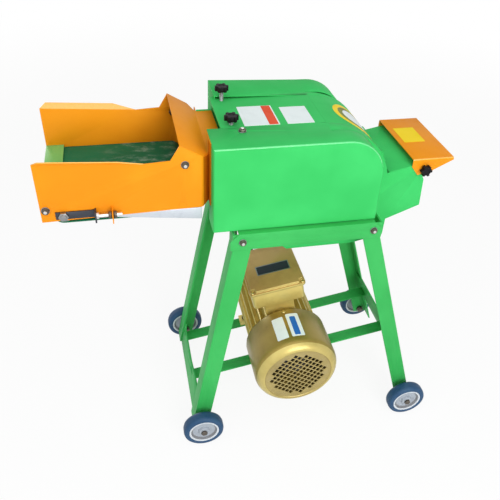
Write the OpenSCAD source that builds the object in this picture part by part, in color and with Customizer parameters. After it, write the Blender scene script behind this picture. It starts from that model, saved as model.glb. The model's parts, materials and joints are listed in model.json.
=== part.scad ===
// Electric belt-feed chaff cutter on a wheeled angle-iron stand.
// X runs from the feed tray to the discharge, Y from the gear side to the belt side, Z is up.
// The origin is on the floor, under the middle of the machine's outline.

/* [Stand] */
// Wheel diameter
wheel_d = 100; // [90:1:120]
// Wheel width
wheel_w = 28; // [22:1:34]
// Half of the axle spacing along the machine
foot_x = 272; // [255:1:290]
// Half of the wheel spacing across the machine
foot_y = 192; // [184:1:205]
// Height of the top face of the frame rails
rail_z = 594; // [570:1:620]
// Flange width of the angle iron
ang = 40; // [36:1:42]
// Flange thickness of the angle iron
ang_t = 4; // [3:0.5:5]

/* [Casing] */
// Height of the covers above the rails
cover_h = 192; // [184:1:202]
// Clear width of the cutting chamber
chamber_w = 188; // [170:1:196]
// Cover sheet thickness
sheet = 2; // [1.5:0.5:2.5]
// Side plate thickness
plate_t = 3; // [2.5:0.5:4]

/* [Feed tray] */
// Length of the tray outside the casing
tray_l = 331; // [290:1:380]
// Inside width of the tray
tray_w = 240; // [228:1:250]
// Height of the belt's carrying side above the rails
belt_h = 79; // [76:1:84]

/* [Discharge] */
// Length of the deflector flap
flap_l = 95; // [70:1:110]

/* [Drive] */
// Outside radius of the motor's fan cover
motor_r = 102; // [92:1:106]
// Roll of the motor on its rails, in degrees
motor_roll = 10.5; // [6:0.5:12]
// Pitch radius of the motor pulley
pulley_m = 40; // [34:1:44]
// Pitch radius of the rotor pulley
pulley_r = 80; // [70:1:86]

/* [Hidden] */

// Fits and small clearances
fit = 0.05;
gap = 0.5;

// Stand levels and stations
axle_z = wheel_d / 2;
rail_x0 = -203;
rail_x1 = 133;
rail_cut = 18;
bend_z = rail_z - ang;
leg_top = rail_z - ang_t;
leg_cut = axle_z - 14;
leg_xl = rail_x0 + 6;
leg_xr = rail_x1;
axle_r = 6;
bolt_r = 4;
stub = 14;

// Casing stations
rot_x = 10;
brg_h = 43;
rot_z = rail_z + brg_h;
top_z = rail_z + cover_h;
belt_z = rail_z + belt_h;
in_z = top_z - sheet;
shell_r = in_z - rot_z;
rotor_r = shell_r - 16;
pan_r = rotor_r + 5;
arm_t = 12;
knife_t = 5;
knife_tip = norm([rotor_r, arm_t / 2 + knife_t]);
case_x = -237;
near_y = -60;
far_y = near_y + chamber_w;
near_o = near_y - plate_t;
far_o = far_y + plate_t;
gear_gap = 25;
front_y = near_o - gear_gap - ang;
rear_y = far_o + 2 + ang + ang_t;
cover_y = front_y + 12;
belt_back = rear_y + 27;
cover_x0 = -209;
lap_n = -28;
lap_f = far_y - 16;
gear_x1 = 116;
gear_corner = 86;

// Slope of the discharge floor, tangent to the drum pan
floor_a = 22.6;
floor_len = 200;
floor_t = [rot_x + pan_r * sin(floor_a), rot_z - pan_r * cos(floor_a)];
function on_floor(s) = floor_t + s * [cos(floor_a), sin(floor_a)];
floor_f = on_floor(117);
floor_e = on_floor(floor_len);
roof_a = 15;
roof_x = rot_x + shell_r * cos(roof_a);
roof_z = rot_z + shell_r * sin(roof_a);
lip = [roof_x + 70, roof_z + 15];
pivot = [lip[0] + 14, lip[1] - 9];

// Feed stations
tray_x0 = case_x - tray_l;
tray_y = (near_y + far_y) / 2;
wall_n = tray_y - tray_w / 2;
wall_f = tray_y + tray_w / 2;
wall_top = belt_z + 91;
wall_bot = belt_z - 36;
bend_x = case_x - 17;
belt_end = case_x - 33;
peak = [case_x - 61, belt_z + 111];
cheek_x = peak[0] - 18;
fold = [case_x - 6, belt_z + 78];
belt_t = 3;
drum_rr = 19;
roll_z = belt_z - belt_t - drum_rr;
tail_x = tray_x0 + 42;
drive_x = belt_end - drum_rr - belt_t - 3;
take_up = 15;
feed_r = 30;
feed_x = rot_x - rotor_r - feed_r - 9;
low_z = belt_z - 1 - feed_r;
nip = 6;
up_z = low_z + 2 * feed_r + nip;
float_up = 14;
chain_y = wall_f + sheet + 5;

// Gear train
mod = 3;
z_pin = 12;
z_big = 34;
z_mid = 22;
z_feed = 26;
z_pair = (up_z - low_z) / mod;
function pr(z) = mod * z / 2;
function atan_to(a, b) = atan2(b[1] - a[1], b[0] - a[0]);
function mesh(phi, za, alpha, zb) = alpha + 180 + (alpha - phi) * za / zb + 180 / zb;
g_rot = [rot_x, rot_z];
g_low = [feed_x, low_z];
g_up = [feed_x, up_z];
d_one = pr(z_pin) + pr(z_big);
d_two = pr(z_pin) + pr(z_mid);
d_low = pr(z_mid) + pr(z_feed);
d_rl = norm(g_low - g_rot);
d_ol = max(d_two + d_low - 9, d_rl - d_one + 1);
a_one = atan_to(g_rot, g_low) - acos((d_one * d_one + d_rl * d_rl - d_ol * d_ol) / (2 * d_one * d_rl));
g_one = g_rot + d_one * [cos(a_one), sin(a_one)];
u_ol = (g_low - g_one) / d_ol;
t_two = (d_two * d_two - d_low * d_low + d_ol * d_ol) / (2 * d_ol);
h_two = sqrt(d_two * d_two - t_two * t_two);
g_two = g_one + t_two * u_ol + h_two * [u_ol[1], -u_ol[0]];
a_two = atan_to(g_one, g_two);
a_low = atan_to(g_two, g_low);
ph_one = mesh(a_one, z_pin, a_one, z_big);
ph_two = mesh(a_two, z_pin, a_two, z_mid);
ph_low = mesh(ph_two, z_mid, a_low, z_feed);
ph_up = mesh(90, z_pair, 90, z_pair);
plane_a = near_o - 14;
plane_b = near_o - 4;
plane_c = near_o - 27;
gear_w = 8;

// Motor stations
mot_x = -44;
mot_z = 218;
foot_lap = 2;
mot_h = motor_r - foot_lap;
fan_y = -205;
fan_len = 124;
mot_end = 158;
foot_ya = -50;
foot_yb = 92;
fin_r = motor_r - 12;
core_r = fin_r - 14;
shaft_r = 14;
pul_w = 18;
pul_y = rear_y + 4;
main_r = 15;
mot = [mot_x, mot_z];
kl = (foot_x + ang / 2 + leg_xl) / (bend_z - axle_z);
kr = -(foot_x + ang / 2 - leg_xr) / (bend_z - axle_z);
kf = (foot_y - wheel_w / 2 - stub + front_y + ang_t) / (bend_z - axle_z);
kb = -(foot_y - wheel_w / 2 - stub - rear_y + ang_t) / (bend_z - axle_z);
function left_in(z) = leg_xl + ang_t + kl * (z - bend_z);
function right_in(z) = leg_xr - ang_t + kr * (z - bend_z);

// Outline middle along the machine
x_min = tray_x0;
x_max = foot_x + wheel_d / 2;
mid_x = (x_min + x_max) / 2;

green = [0.25, 0.78, 0.40];
orange = [0.96, 0.62, 0.16];
steel = [0.72, 0.73, 0.75];
gold = [0.74, 0.62, 0.31];
black = [0.08, 0.08, 0.09];

// Moves from the drawing frame to the part's frame
module place() translate([-mid_x, 0, 0]) children();

// Turns a shape drawn in X and Z, and pulled towards -Y, so that it starts at y
module across(y, w) translate([0, y + w, 0]) rotate([90, 0, 0]) linear_extrude(w) children();

// Round bar along Y
module bar(p, r, y0, y1, f = 48) translate([p[0], y1, p[1]]) rotate([90, 0, 0])
  cylinder(r = r, h = y1 - y0, $fn = f);

// Turned shape about an axis along Y, drawn as radius and distance from y
module turned(p, y, f = 72) translate([p[0], y, p[1]]) rotate([-90, 0, 0])
  rotate_extrude($fn = f) children();

// Closed loop round two pulleys, with its section drawn as radius offset and width
module loop(a, ra, b, rb, y) {
  c = norm(b - a);
  th = acos((ra - rb) / c);
  translate([a[0], y, a[1]]) rotate([0, -atan_to(a, b), 0]) rotate([90, 0, 0]) {
    rotate([0, 0, th]) rotate_extrude(angle = 360 - 2 * th, $fn = 96) translate([ra, 0]) children();
    translate([c, 0, 0]) rotate([0, 0, -th]) rotate_extrude(angle = 2 * th, $fn = 96)
      translate([rb, 0]) children();
    rotate([0, 0, th]) rotate([90, 0, 0]) linear_extrude(c * sin(th)) translate([ra, 0]) children();
    translate([c, 0, 0]) rotate([0, 0, -th]) rotate([90, 0, 0]) linear_extrude(c * sin(th))
      translate([rb, 0]) children();
  }
}

// Stub-tooth spur gear outline with involute flanks
function inv_pt(rb, r) = let (t = sqrt(max(0, r * r / (rb * rb) - 1))) t * 180 / PI - atan(t);
module gear(z, phi) {
  rp = pr(z);
  rb = rp * cos(20);
  ra = rp + 0.65 * mod;
  rf = rp - 0.8 * mod;
  half = 90 / z - 0.25 / rp * 180 / PI + inv_pt(rb, rp);
  rs = [rf, max(rf, rb), (rp + max(rf, rb)) / 2, rp, ra];
  polygon([for (i = [0 : z - 1]) each concat(
    [for (r = rs) let (a = phi + i * 360 / z - (half - inv_pt(rb, r))) r * [cos(a), sin(a)]],
    [for (k = [4 : -1 : 0]) let (r = rs[k], a = phi + i * 360 / z + (half - inv_pt(rb, r)))
      r * [cos(a), sin(a)]])]);
}
module spur(p, z, phi, y, w) translate([p[0], 0, p[1]]) across(y, w) gear(z, phi);

// Hexagon bolt along +Z of its local frame: head below zero, nut above the grip
module hex_bolt(r, grip, nut = true) {
  translate([0, 0, -1.3 * r]) cylinder(r = 1.9 * r, h = 1.3 * r, $fn = 6);
  cylinder(r = r, h = grip + (nut ? 1.8 * r : 0), $fn = 32);
  if (nut) translate([0, 0, grip]) cylinder(r = 1.9 * r, h = 1.5 * r, $fn = 6);
}
module hole_y(p, r, y0, y1) translate([p[0], y0, p[1]]) rotate([-90, 0, 0])
  cylinder(r = r, h = y1 - y0, $fn = 32);
module hole_z(x, y, r, z0, z1) translate([x, y, z0]) cylinder(r = r, h = z1 - z0, $fn = 32);

// Frame
rail_bolts = [leg_xl + ang / 2, leg_xr - ang / 2];
rail_bolt_z = rail_z - ang / 2;
brg_bolt = 48;
shoe_x = 78;
shoe_l = 30;
module rail(y, s) color(green) place() difference() {
  union() {
    across(s > 0 ? y : y - ang_t, ang_t) polygon([[rail_x0, bend_z], [rail_x1, bend_z],
      [rail_x1, rail_z - rail_cut], [rail_x1 - rail_cut, rail_z], [rail_x0 + rail_cut, rail_z],
      [rail_x0, rail_z - rail_cut]]);
    translate([rail_x0 + rail_cut, s > 0 ? y : y - ang, rail_z - ang_t])
      cube([rail_x1 - rail_x0 - 2 * rail_cut, ang, ang_t]);
  }
  for (x = rail_bolts) hole_y([x, rail_bolt_z], bolt_r + fit, y - ang, y + ang);
  for (x = [-brg_bolt, brg_bolt]) hole_z(rot_x + x, brg_y(s), bolt_r + fit, bend_z, rail_z + 1);
  hole_z(shoe_x + shoe_l / 2, shoe_y(s), bolt_r + fit, bend_z, rail_z + 1);
}
function brg_y(s) = s > 0 ? front_y + 26 : rear_y - 21;
function shoe_y(s) = s > 0 ? front_y + 26 : rear_y - 21;
module front_rail() rail(front_y, 1);
module rear_rail() rail(rear_y, -1);
module left_cross_rail() color(green) place()
  translate([rail_x0 + rail_cut, front_y + ang, bend_z]) {
    cube([ang_t, rear_y - front_y - 2 * ang, ang]);
    translate([0, 0, ang - ang_t]) cube([ang, rear_y - front_y - 2 * ang, ang_t]);
  }

module leg(xo, yo, sx, sy, kx, ky) color(green) place() difference() {
  translate([xo, yo, bend_z]) {
    linear_extrude(leg_top - bend_z) angle_section(sx, sy);
    multmatrix([[1, 0, kx, 0], [0, 1, ky, 0], [0, 0, 1, 0], [0, 0, 0, 1]])
      translate([0, 0, leg_cut - bend_z]) linear_extrude(bend_z - leg_cut) angle_section(sx, sy);
  }
  hole_y([xo + sx * ang / 2, rail_bolt_z], bolt_r + fit, yo - ang, yo + ang);
  hole_y([sign(xo) * foot_x, axle_z], axle_r + fit, sign(yo) * foot_y - ang, sign(yo) * foot_y + ang);
}
module angle_section(sx, sy) polygon([[0, 0], [sx * ang, 0], [sx * ang, sy * ang_t],
  [sx * ang_t, sy * ang_t], [sx * ang_t, sy * ang], [0, sy * ang]]);
module front_left_leg() leg(leg_xl, front_y + ang_t, 1, 1, kl, kf);
module front_right_leg() leg(leg_xr, front_y + ang_t, -1, 1, kr, kf);
module rear_left_leg() leg(leg_xl, rear_y - ang_t, 1, -1, kl, kb);
module rear_right_leg() leg(leg_xr, rear_y - ang_t, -1, -1, kr, kb);

// Slotted end plates that carry the motor rails, lying on the inside of the leg flanges
slot_l = 28;
slot_h = 10;
rail_w = 32;
plate_up = 16;
plate_down = 50;
rail_mid = [foot_ya + rail_w / 2, foot_yb + rail_w / 2];
function plate_front(z) = front_y + 2 * ang_t + kf * (z - bend_z) + 1;
function plate_back(z) = rear_y - 2 * ang_t + kb * (z - bend_z) - 1;
function rail_end_z(x) = mot_z - mot_h * cos(motor_roll) + (x - mot_x - mot_h * sin(motor_roll))
  * tan(motor_roll);
slot_zl = rail_end_z(left_in(axle_z + 40)) + 14;
slot_zr = rail_end_z(right_in(axle_z + 120)) + 14;
module end_plate(x, k, zc, bulge) color(green) place()
  multmatrix([[1, 0, k, x - k * bend_z], [0, 1, 0, 0], [0, 0, 1, 0], [0, 0, 0, 1]])
    rotate([90, 0, 90]) linear_extrude(ang_t) difference() {
      y0 = plate_front(zc + plate_up);
      y1 = plate_back(zc - plate_down);
      polygon([[y0, zc - plate_down], [y1, zc - plate_down], [y1, zc + plate_up],
        [y1 - ang, zc + plate_up + 4],
        [rail_mid[1], zc + plate_up + 4 + bulge], [rail_mid[0] + 30, zc + plate_up + 4 + bulge],
        [y0 + 2 * ang, zc + plate_up + 4], [y0, zc + plate_up]]);
      for (y = rail_mid) translate([y - slot_l / 2, zc - slot_h / 2]) square([slot_l, slot_h]);
    }
module left_end_plate() end_plate(leg_xl + ang_t, kl, slot_zl, -12);
module right_end_plate() end_plate(leg_xr - 2 * ang_t, kr, slot_zr, 14);

// Frame of the motor, rolled about the motor axis
module motor_place() translate([mot_x, 0, mot_z]) rotate([0, -motor_roll, 0]) children();
module motor_rail(y) color(green) place() intersection() {
  motor_place() translate([0, y, -mot_h]) {
    difference() {
      translate([-400, 0, -ang_t]) cube([800, rail_w, ang_t]);
      for (x = [-foot_bx, foot_bx]) hole_z(x, rail_w / 2, bolt_r + 1 + fit, -2 * ang_t, 1);
    }
    translate([-400, rail_w - ang_t, -rail_w]) cube([800, ang_t, rail_w]);
  }
  across(y - 1, rail_w + 2) polygon([[left_in(0) + ang_t, 0], [right_in(0) - ang_t, 0],
    [right_in(bend_z) - ang_t, bend_z], [left_in(bend_z) + ang_t, bend_z]]);
}
foot_bx = 80;
module motor_rails() {
  motor_rail(foot_ya);
  motor_rail(foot_yb);
}

// Wheels
tyre_t = 13;
hub_r = wheel_d / 2 - tyre_t;
wheel_at = [for (sx = [-1, 1], sy = [-1, 1]) [sx * foot_x, sy * foot_y, sy]];
module hub(sx, sy) color([0.86, 0.87, 0.88]) place() turned([sx * foot_x, axle_z], sy * foot_y)
  polygon([[axle_r + fit, -wheel_w / 2], [13, -wheel_w / 2], [15, -7], [hub_r - 6, -7],
    [hub_r - 4, 1 - wheel_w / 2], [hub_r, 1 - wheel_w / 2], [hub_r, wheel_w / 2 - 1],
    [hub_r - 4, wheel_w / 2 - 1], [hub_r - 6, 7], [15, 7], [13, wheel_w / 2], [axle_r + fit, wheel_w / 2]]);
module tyre(sx, sy) color([0.22, 0.36, 0.55]) place() turned([sx * foot_x, axle_z], sy * foot_y, 96)
  polygon([[hub_r, -wheel_w / 2], [hub_r + 7, -wheel_w / 2], [hub_r + 11, 2 - wheel_w / 2],
    [hub_r + tyre_t, 7 - wheel_w / 2], [hub_r + tyre_t, wheel_w / 2 - 7],
    [hub_r + 11, wheel_w / 2 - 2], [hub_r + 7, wheel_w / 2], [hub_r, wheel_w / 2]]);
module front_left_hub() hub(-1, -1);
module front_left_tyre() tyre(-1, -1);
module front_right_hub() hub(1, -1);
module front_right_tyre() tyre(1, -1);
module rear_left_hub() hub(-1, 1);
module rear_left_tyre() tyre(-1, 1);
module rear_right_hub() hub(1, 1);
module rear_right_tyre() tyre(1, 1);

// Axle bolts: head outside the wheel, spacer collar between wheel and leg, nut behind the leg
axle_in = wheel_w / 2 + stub + ang_t;
module axle_bolts() color(steel) place() for (w = wheel_at)
  translate([w[0], w[1], axle_z]) rotate([w[2] * 90, 0, 0]) {
    translate([0, 0, -wheel_w / 2 - 5]) {
      cylinder(r = axle_r + 2, h = 4.6, $fn = 6);
      cylinder(r = axle_r, h = 5 + wheel_w / 2 + axle_in + 12, $fn = 48);
    }
    translate([0, 0, wheel_w / 2 + 0.4]) cylinder(r = 9, h = stub - 3, $fn = 48);
    translate([0, 0, axle_in + 2]) cylinder(r = 10, h = 8, $fn = 6);
  }

// Bolts of the frame, the bearings, the casing, the tray and the motor feet
module hex_bolts() color(steel) place() {
  for (x = rail_bolts) {
    translate([x, front_y, rail_bolt_z]) rotate([-90, 0, 0]) hex_bolt(bolt_r, 2 * ang_t);
    translate([x, rear_y, rail_bolt_z]) rotate([90, 0, 0]) hex_bolt(bolt_r, 2 * ang_t);
  }
  for (s = [1, -1]) {
    for (x = [-brg_bolt, brg_bolt])
      translate([rot_x + x, brg_y(s), rail_z + brg_foot]) rotate([180, 0, 0])
        hex_bolt(bolt_r, brg_foot + ang_t);
    translate([shoe_x + shoe_l / 2, shoe_y(s), rail_z + plate_t]) rotate([180, 0, 0])
      hex_bolt(bolt_r, plate_t + ang_t);
  }
  motor_place() for (x = [-foot_bx, foot_bx], y = rail_mid)
    translate([x, y, foot_t - mot_h]) rotate([180, 0, 0]) hex_bolt(bolt_r + 1, foot_t + ang_t);
  translate([lap_bolt[0], lap_bolt[1], top_z]) rotate([180, 0, 0]) hex_bolt(bolt_r, sheet + bar_t);
  for (x = wall_bolts) {
    translate([x[0], wall_n - sheet, x[1]]) rotate([-90, 0, 0]) hex_bolt(bolt_r, sheet + x[2]);
    translate([x[0], wall_f + sheet, x[1]]) rotate([90, 0, 0]) hex_bolt(bolt_r, sheet + x[2]);
  }
  for (y = [wall_n - lug_o, wall_f + lug_o], x = [lug_x - 7, lug_x + sheet])
    translate([x, y, roll_z]) rotate([0, 90, 0]) difference() {
      cylinder(r = 8, h = 7, $fn = 6);
      translate([0, 0, -1]) cylinder(r = screw_r + fit, h = 9, $fn = 32);
    }
}

// Casing side plates: chamber, drum and discharge in one outline
slot_u = 9;
module casing_outline() {
  polygon(concat([[case_x, rail_z], [-140, rail_z], [-140, rail_z - 34], [-60, rot_z - pan_r - 7],
    [100, rot_z - pan_r - 7], [floor_f[0], rot_z - 126], floor_f - [0, 3], floor_e - [0, 3],
    [floor_e[0] - 5, lip[1] - 37], [pivot[0] + 2, pivot[1] - 22], [pivot[0] + 9, pivot[1] - 8],
    [pivot[0] + 8, pivot[1] + 11], [pivot[0] - 12, pivot[1] + 13], lip],
    [for (a = [roof_a : 5 : 90]) [rot_x, rot_z] + shell_r * [cos(a), sin(a)]], [[case_x, in_z]]));
}
module gear_outline(d) {
  x0 = case_x + d;
  x1 = gear_x1 - d;
  z1 = top_z - d;
  c = gear_corner - d;
  polygon(concat([[x0, rail_z + 1], [x1 + 2, rail_z + 1], [x1, z1 - c - 20]],
    [for (a = [0 : 7.5 : 90]) [x1 - c + c * cos(a), z1 - c + c * sin(a)]], [[x0, z1]]));
}
module bores(y0, y1) {
  hole_y([rot_x, rot_z], main_r + 3, y0, y1);
  hole_y(g_low, 10 + fit, y0, y1);
  hole_y(pivot, bolt_r + fit, y0, y1);
  translate([feed_x - slot_u, y0, up_z - 9]) cube([2 * slot_u, y1 - y0, float_up + 18]);
}
module shoe(y0, y1) translate([shoe_x, y0, rail_z]) cube([shoe_l, y1 - y0, plate_t]);
module near_side_plate() color(green) place() {
  difference() {
    union() {
      across(near_o, plate_t) {
        casing_outline();
        intersection() {
          gear_outline(sheet);
          translate([rot_x, rail_z]) square([300, 300]);
        }
      }
      shoe(front_y + 14, near_y);
    }
    bores(near_o - 1, near_y + 1);
    hole_z(shoe_x + shoe_l / 2, shoe_y(1), bolt_r + fit, rail_z - 1, rail_z + 9);
  }
  bar(g_one, 8, plane_a - gear_w - 2, near_y);
  bar(g_two, 8, plane_b - gear_w - 2, near_y);
}
module far_side_plate() color(green) place() difference() {
  union() {
    across(far_y, plate_t) difference() {
      casing_outline();
      translate([case_x - 1, fold[1] + sheet + 2]) square([hood_x1 - case_x + 1, cover_h]);
    }
    shoe(far_y, rear_y - 12);
  }
  bores(far_y - 1, far_o + 1);
  hole_z(shoe_x + shoe_l / 2, shoe_y(-1), bolt_r + fit, rail_z - 1, rail_z + 9);
}

// Lower drum sheet that runs on as the discharge floor
module drum_pan() color(green) place() {
  translate([rot_x, far_y, rot_z]) rotate([90, 0, 0]) rotate([0, 0, 175])
    rotate_extrude(angle = 95 + floor_a, $fn = 96) translate([pan_r, 0]) square([sheet, chamber_w]);
  translate([floor_t[0], near_y, floor_t[1]]) rotate([0, -floor_a, 0])
    translate([-seam, 0, 0.1 - sheet]) cube([floor_len + seam, chamber_w, sheet - 0.2]);
}

// Discharge roof with the fixed half of the cover hinge
seam = 3;
hinge = [rot_x, rot_z] + (shell_r + sheet + 4) * [cos(24), sin(24)];
hinge_r = 6;
pin_r = 3;
knuckle = 22;
knuckles = [lap_n + 8, lap_f - 8 - knuckle];
module chute_roof() color(green) place() {
  across(near_o, far_o - near_o) polygon([[roof_x + 4, roof_z + 1], lip, lip + [0, sheet],
    [roof_x + 4, roof_z + 1 + sheet]]);
  bar(hinge, pin_r, knuckles[0] - 6, knuckles[1] + knuckle + 6);
  for (y = [knuckles[0] + knuckle + gap, knuckles[1] - gap - knuckle]) {
    bar(hinge, hinge_r, y, y + knuckle);
    across(y, knuckle) polygon([hinge + [3, -4], hinge + [6, 0], [roof_x + 18, roof_z + 6],
      [roof_x + 10, roof_z + 3]]);
  }
}
shear_z = belt_z - 18;
shear_x0 = feed_x + feed_r + 2;
shear_x1 = rot_x - sqrt(pow(knife_tip + 1, 2) - pow(shear_z - rot_z, 2));
module shear_bar() color(steel) place() translate([shear_x0, near_y, shear_z])
  cube([shear_x1 - shear_x0, chamber_w, 16]);

// Bar across the top of the casing that the cover studs screw into
bar_t = 8;
bar_x = cover_x0 + 2;
bar_w = 46;
stud_x = cover_x0 + 24;
stud_y = [lap_n + 16, lap_f - 8];
lap_bolt = [bar_x + 38, lap_n - 18];
module cover_bar() color(green) place() difference() {
  translate([bar_x, near_y, in_z - bar_t]) cube([bar_w, chamber_w, bar_t]);
  for (y = stud_y) hole_z(stud_x, y, bolt_r + 3, in_z - 20, in_z + 1);
  hole_z(lap_bolt[0], lap_bolt[1], bolt_r + fit, in_z - 20, in_z + 1);
}

// Curved strip of the casing's round end, from an angle up to the flat top that it joins
module round_end(a0, y0, y1) {
  translate([rot_x, y1, rot_z]) rotate([90, 0, 0]) rotate([0, 0, a0])
    rotate_extrude(angle = 90 - a0, $fn = 96) translate([shell_r, 0]) square([sheet, y1 - y0]);
  translate([rot_x - seam, y0 + 1, in_z + 0.1]) cube([2 * seam, y1 - y0 - 2, sheet - 0.2]);
}
function on_shell(d, a) = [rot_x, rot_z] + (shell_r + d) * [cos(a), sin(a)];

// Gear cover: pan-shaped sheet whose top laps onto the casing
module gear_cover() color(green) place() difference() {
  union() {
    across(cover_y, sheet) gear_outline(0);
    across(cover_y, near_o - cover_y) difference() {
      gear_outline(0);
      gear_outline(sheet);
      translate([case_x + sheet, rail_z - 9]) square([gear_x1 - case_x - 2 * sheet, 40]);
    }
    translate([case_x, near_o - 1, in_z]) cube([rot_x - case_x, lap_n - near_o + 1, sheet]);
    round_end(26, near_y, lap_n);
  }
  hole_z(lap_bolt[0], lap_bolt[1], bolt_r + fit, in_z - 1, top_z + 1);
}

// Belt cover: box over the rotor pulley, open below for the belt
belt_x0 = -200;
belt_x1 = gear_x1;
rise = 7;
module belt_profile(d) {
  c = gear_corner - d;
  corner = [belt_x1 - gear_corner, top_z - gear_corner];
  polygon(concat([[belt_x0 + d, rail_z + 6], [belt_x1 - d, rail_z + 6]],
    [for (a = [0 : 7.5 : 90]) corner + c * [cos(a), sin(a)]],
    [[rot_x, top_z - d], [belt_x0 + d, top_z + rise - d]]));
}
module belt_cover() color(green) place() {
  across(belt_back - sheet, sheet) belt_profile(0);
  difference() {
    across(far_o, belt_back - far_o) difference() {
      belt_profile(0);
      belt_profile(sheet);
      translate([belt_x0 + sheet, rail_z]) square([belt_x1 - belt_x0 - 2 * sheet, 20]);
    }
    translate([belt_x0 - 1, far_o - 1, rail_z]) cube([9, chain_y + 12 - far_o, belt_h + 20]);
  }
  across(lap_f, far_o - lap_f) difference() {
    belt_profile(0);
    belt_profile(sheet);
    translate([belt_x0 - 9, rail_z]) square([400, in_z - rail_z + 0.3]);
    translate([rot_x, rail_z]) square([400, 400]);
  }
  round_end(26, lap_f, far_y);
}

// Hinged top cover with its moving hinge knuckles and two stud holes
module top_cover() color(green) place() difference() {
  union() {
    translate([cover_x0, lap_n + gap, in_z]) cube([rot_x - cover_x0, lap_f - lap_n - 2 * gap, sheet]);
    round_end(27, lap_n + gap, lap_f - gap);
    for (y = knuckles) {
      bar(hinge, hinge_r, y, y + knuckle);
      across(y + 0.5, knuckle - 1) polygon([hinge + [-3, -2], hinge + [4, 3], on_shell(1.8, 33),
        on_shell(0.2, 33)]);
    }
  }
  for (y = knuckles) bar(hinge, pin_r + fit, y - 1, y + knuckle + 1);
  for (y = stud_y) hole_z(stud_x, y, bolt_r + 0.3, in_z - 1, top_z + 1);
}

// Star knob on a stud, drawn along +Z from the face it clamps
module star_knob(r, stem, stud) {
  translate([0, 0, stem]) {
    cylinder(r = 0.8 * r, h = 0.75 * r, $fn = 48);
    for (i = [0 : 5]) rotate(60 * i) translate([0.72 * r, 0, 0.05 * r])
      cylinder(r = 0.28 * r, h = 0.65 * r, $fn = 24);
  }
  translate([0, 0, -stud]) cylinder(r = bolt_r, h = stud + stem + 1, $fn = 32);
}
module cover_knob(y, h) color(black) place() translate([stud_x, y, top_z]) star_knob(15, h,
  sheet + bar_t - 1);
module cover_knob_near() cover_knob(stud_y[0], 9);
module cover_knob_far() cover_knob(stud_y[1], 22);

// Deflector flap over the discharge mouth, clamped by two knobs on its pivot
flap_t = 2;
flap_n = near_o - flap_t - 0.3;
flap_f = far_o + flap_t + 0.3;
flap_z = lip[1] + 15;
flap_x = lip[0] - 16;
module deflector_flap() color(orange) place() difference() {
  union() {
    translate([flap_x, flap_n, flap_z - flap_t]) cube([flap_l, flap_f - flap_n, flap_t]);
    for (y = [flap_n, flap_f - flap_t]) across(y, flap_t) polygon([[flap_x, flap_z],
      [flap_x, flap_z - 18], [flap_x + 17, flap_z - 39], [flap_x + 0.54 * flap_l, flap_z - 29],
      [flap_x + flap_l, flap_z - 6], [flap_x + flap_l, flap_z]]);
  }
  hole_y(pivot, bolt_r + fit, flap_n - 1, flap_f + 1);
}
module flap_knob_near() color(black) place() translate([pivot[0], flap_n, pivot[1]])
  rotate([90, 0, 0]) star_knob(13, 4, flap_t + plate_t + 6);
module flap_knob_far() color(black) place() translate([pivot[0], flap_f, pivot[1]])
  rotate([-90, 0, 0]) star_knob(13, 4, flap_t + plate_t + 6);

// Feed tray: two bent side walls, hood, tail plate and pan
lug_o = 14;
lug_x = tail_x + 92;
screw_r = 4;
lip_w = 14;
lip_l = cheek_x - 50 - tray_x0;
lip_run = 50;
lip_cut = 12;
wall_drop = 13;
wall_flange = 24;
wall_bolts = [[peak[0] + 10, peak[1] - 40, 2], [tray_x0 + 10, belt_z - 9, 2]];
module tray_side() polygon([[tray_x0, wall_bot], [tray_x0, wall_top],
  [tray_x0 + lip_l, wall_top - wall_drop], [cheek_x, wall_top - 10], peak,
  fold, [case_x, fold[1]], [case_x, wall_bot + 8]]);
module tray_wall(flange, flange_top) {
  y0 = -tray_w / 2 - sheet;
  yb = -chamber_w / 2 - plate_t;
  difference() {
    union() {
      intersection() {
        linear_extrude(top_z) polygon([[tray_x0, y0], [bend_x, y0], [case_x - sheet, yb - sheet],
          [case_x - sheet, yb], [bend_x, y0 + sheet], [tray_x0, y0 + sheet]]);
        across(y0 - 1, tray_w) tray_side();
      }
      translate([case_x - sheet, yb - flange, wall_bot + 8])
        cube([sheet, flange + sheet, flange_top - wall_bot - 8]);
      translate([tray_x0, y0, wall_top]) rotate([0, atan2(wall_drop, lip_l), 0]) rotate([45, 0, 0])
        translate([0, sheet - 0.4, -1]) rotate([90, 0, 0]) linear_extrude(sheet)
          polygon([[0.2, 0], [lip_l, 0], [lip_l - lip_run, lip_w], [lip_cut, lip_w]]);
      translate([lug_x, y0 - 2 * lug_o + 3, roll_z - 13]) cube([sheet, 2 * lug_o - 2, 26]);
    }
    translate([tail_x - 8, y0 - 1, roll_z - 7]) cube([take_up + 16, sheet + 2, 14]);
    for (b = wall_bolts) hole_y([b[0], b[1]], bolt_r + fit, y0 - 9, y0 + 9);
    hole_y([drive_x, roll_z], 8 + fit, y0 - 9, y0 + 9);
    translate([lug_x - 9, y0 - lug_o + sheet, roll_z]) rotate([0, 90, 0])
      cylinder(r = screw_r + fit, h = 18, $fn = 32);
  }
}
module near_tray_wall() color(orange) place() translate([0, tray_y, 0])
  tray_wall(wall_flange, in_z);
module far_tray_wall() color(orange) place() translate([0, tray_y, 0]) mirror([0, 1, 0])
  tray_wall(wall_flange, fold[1]);
hood_x1 = cover_x0 + 6;
hood_half = [[peak[0], tray_w / 2 + sheet], [bend_x, tray_w / 2 + sheet],
  [case_x - sheet, chamber_w / 2 + plate_t], [case_x - sheet, chamber_w / 2 - gap],
  [hood_x1, chamber_w / 2 - gap]];
module hood() color(orange) place() translate([0, tray_y, 0]) intersection() {
  across(-tray_w, 2 * tray_w) polygon([peak, fold, [hood_x1, fold[1]], [hood_x1, fold[1] + sheet],
    fold + [1, sheet], peak + [0, sheet]]);
  linear_extrude(2 * top_z) polygon(concat(hood_half,
    [for (i = [len(hood_half) - 1 : -1 : 0]) [hood_half[i][0], -hood_half[i][1]]]));
}
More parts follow.
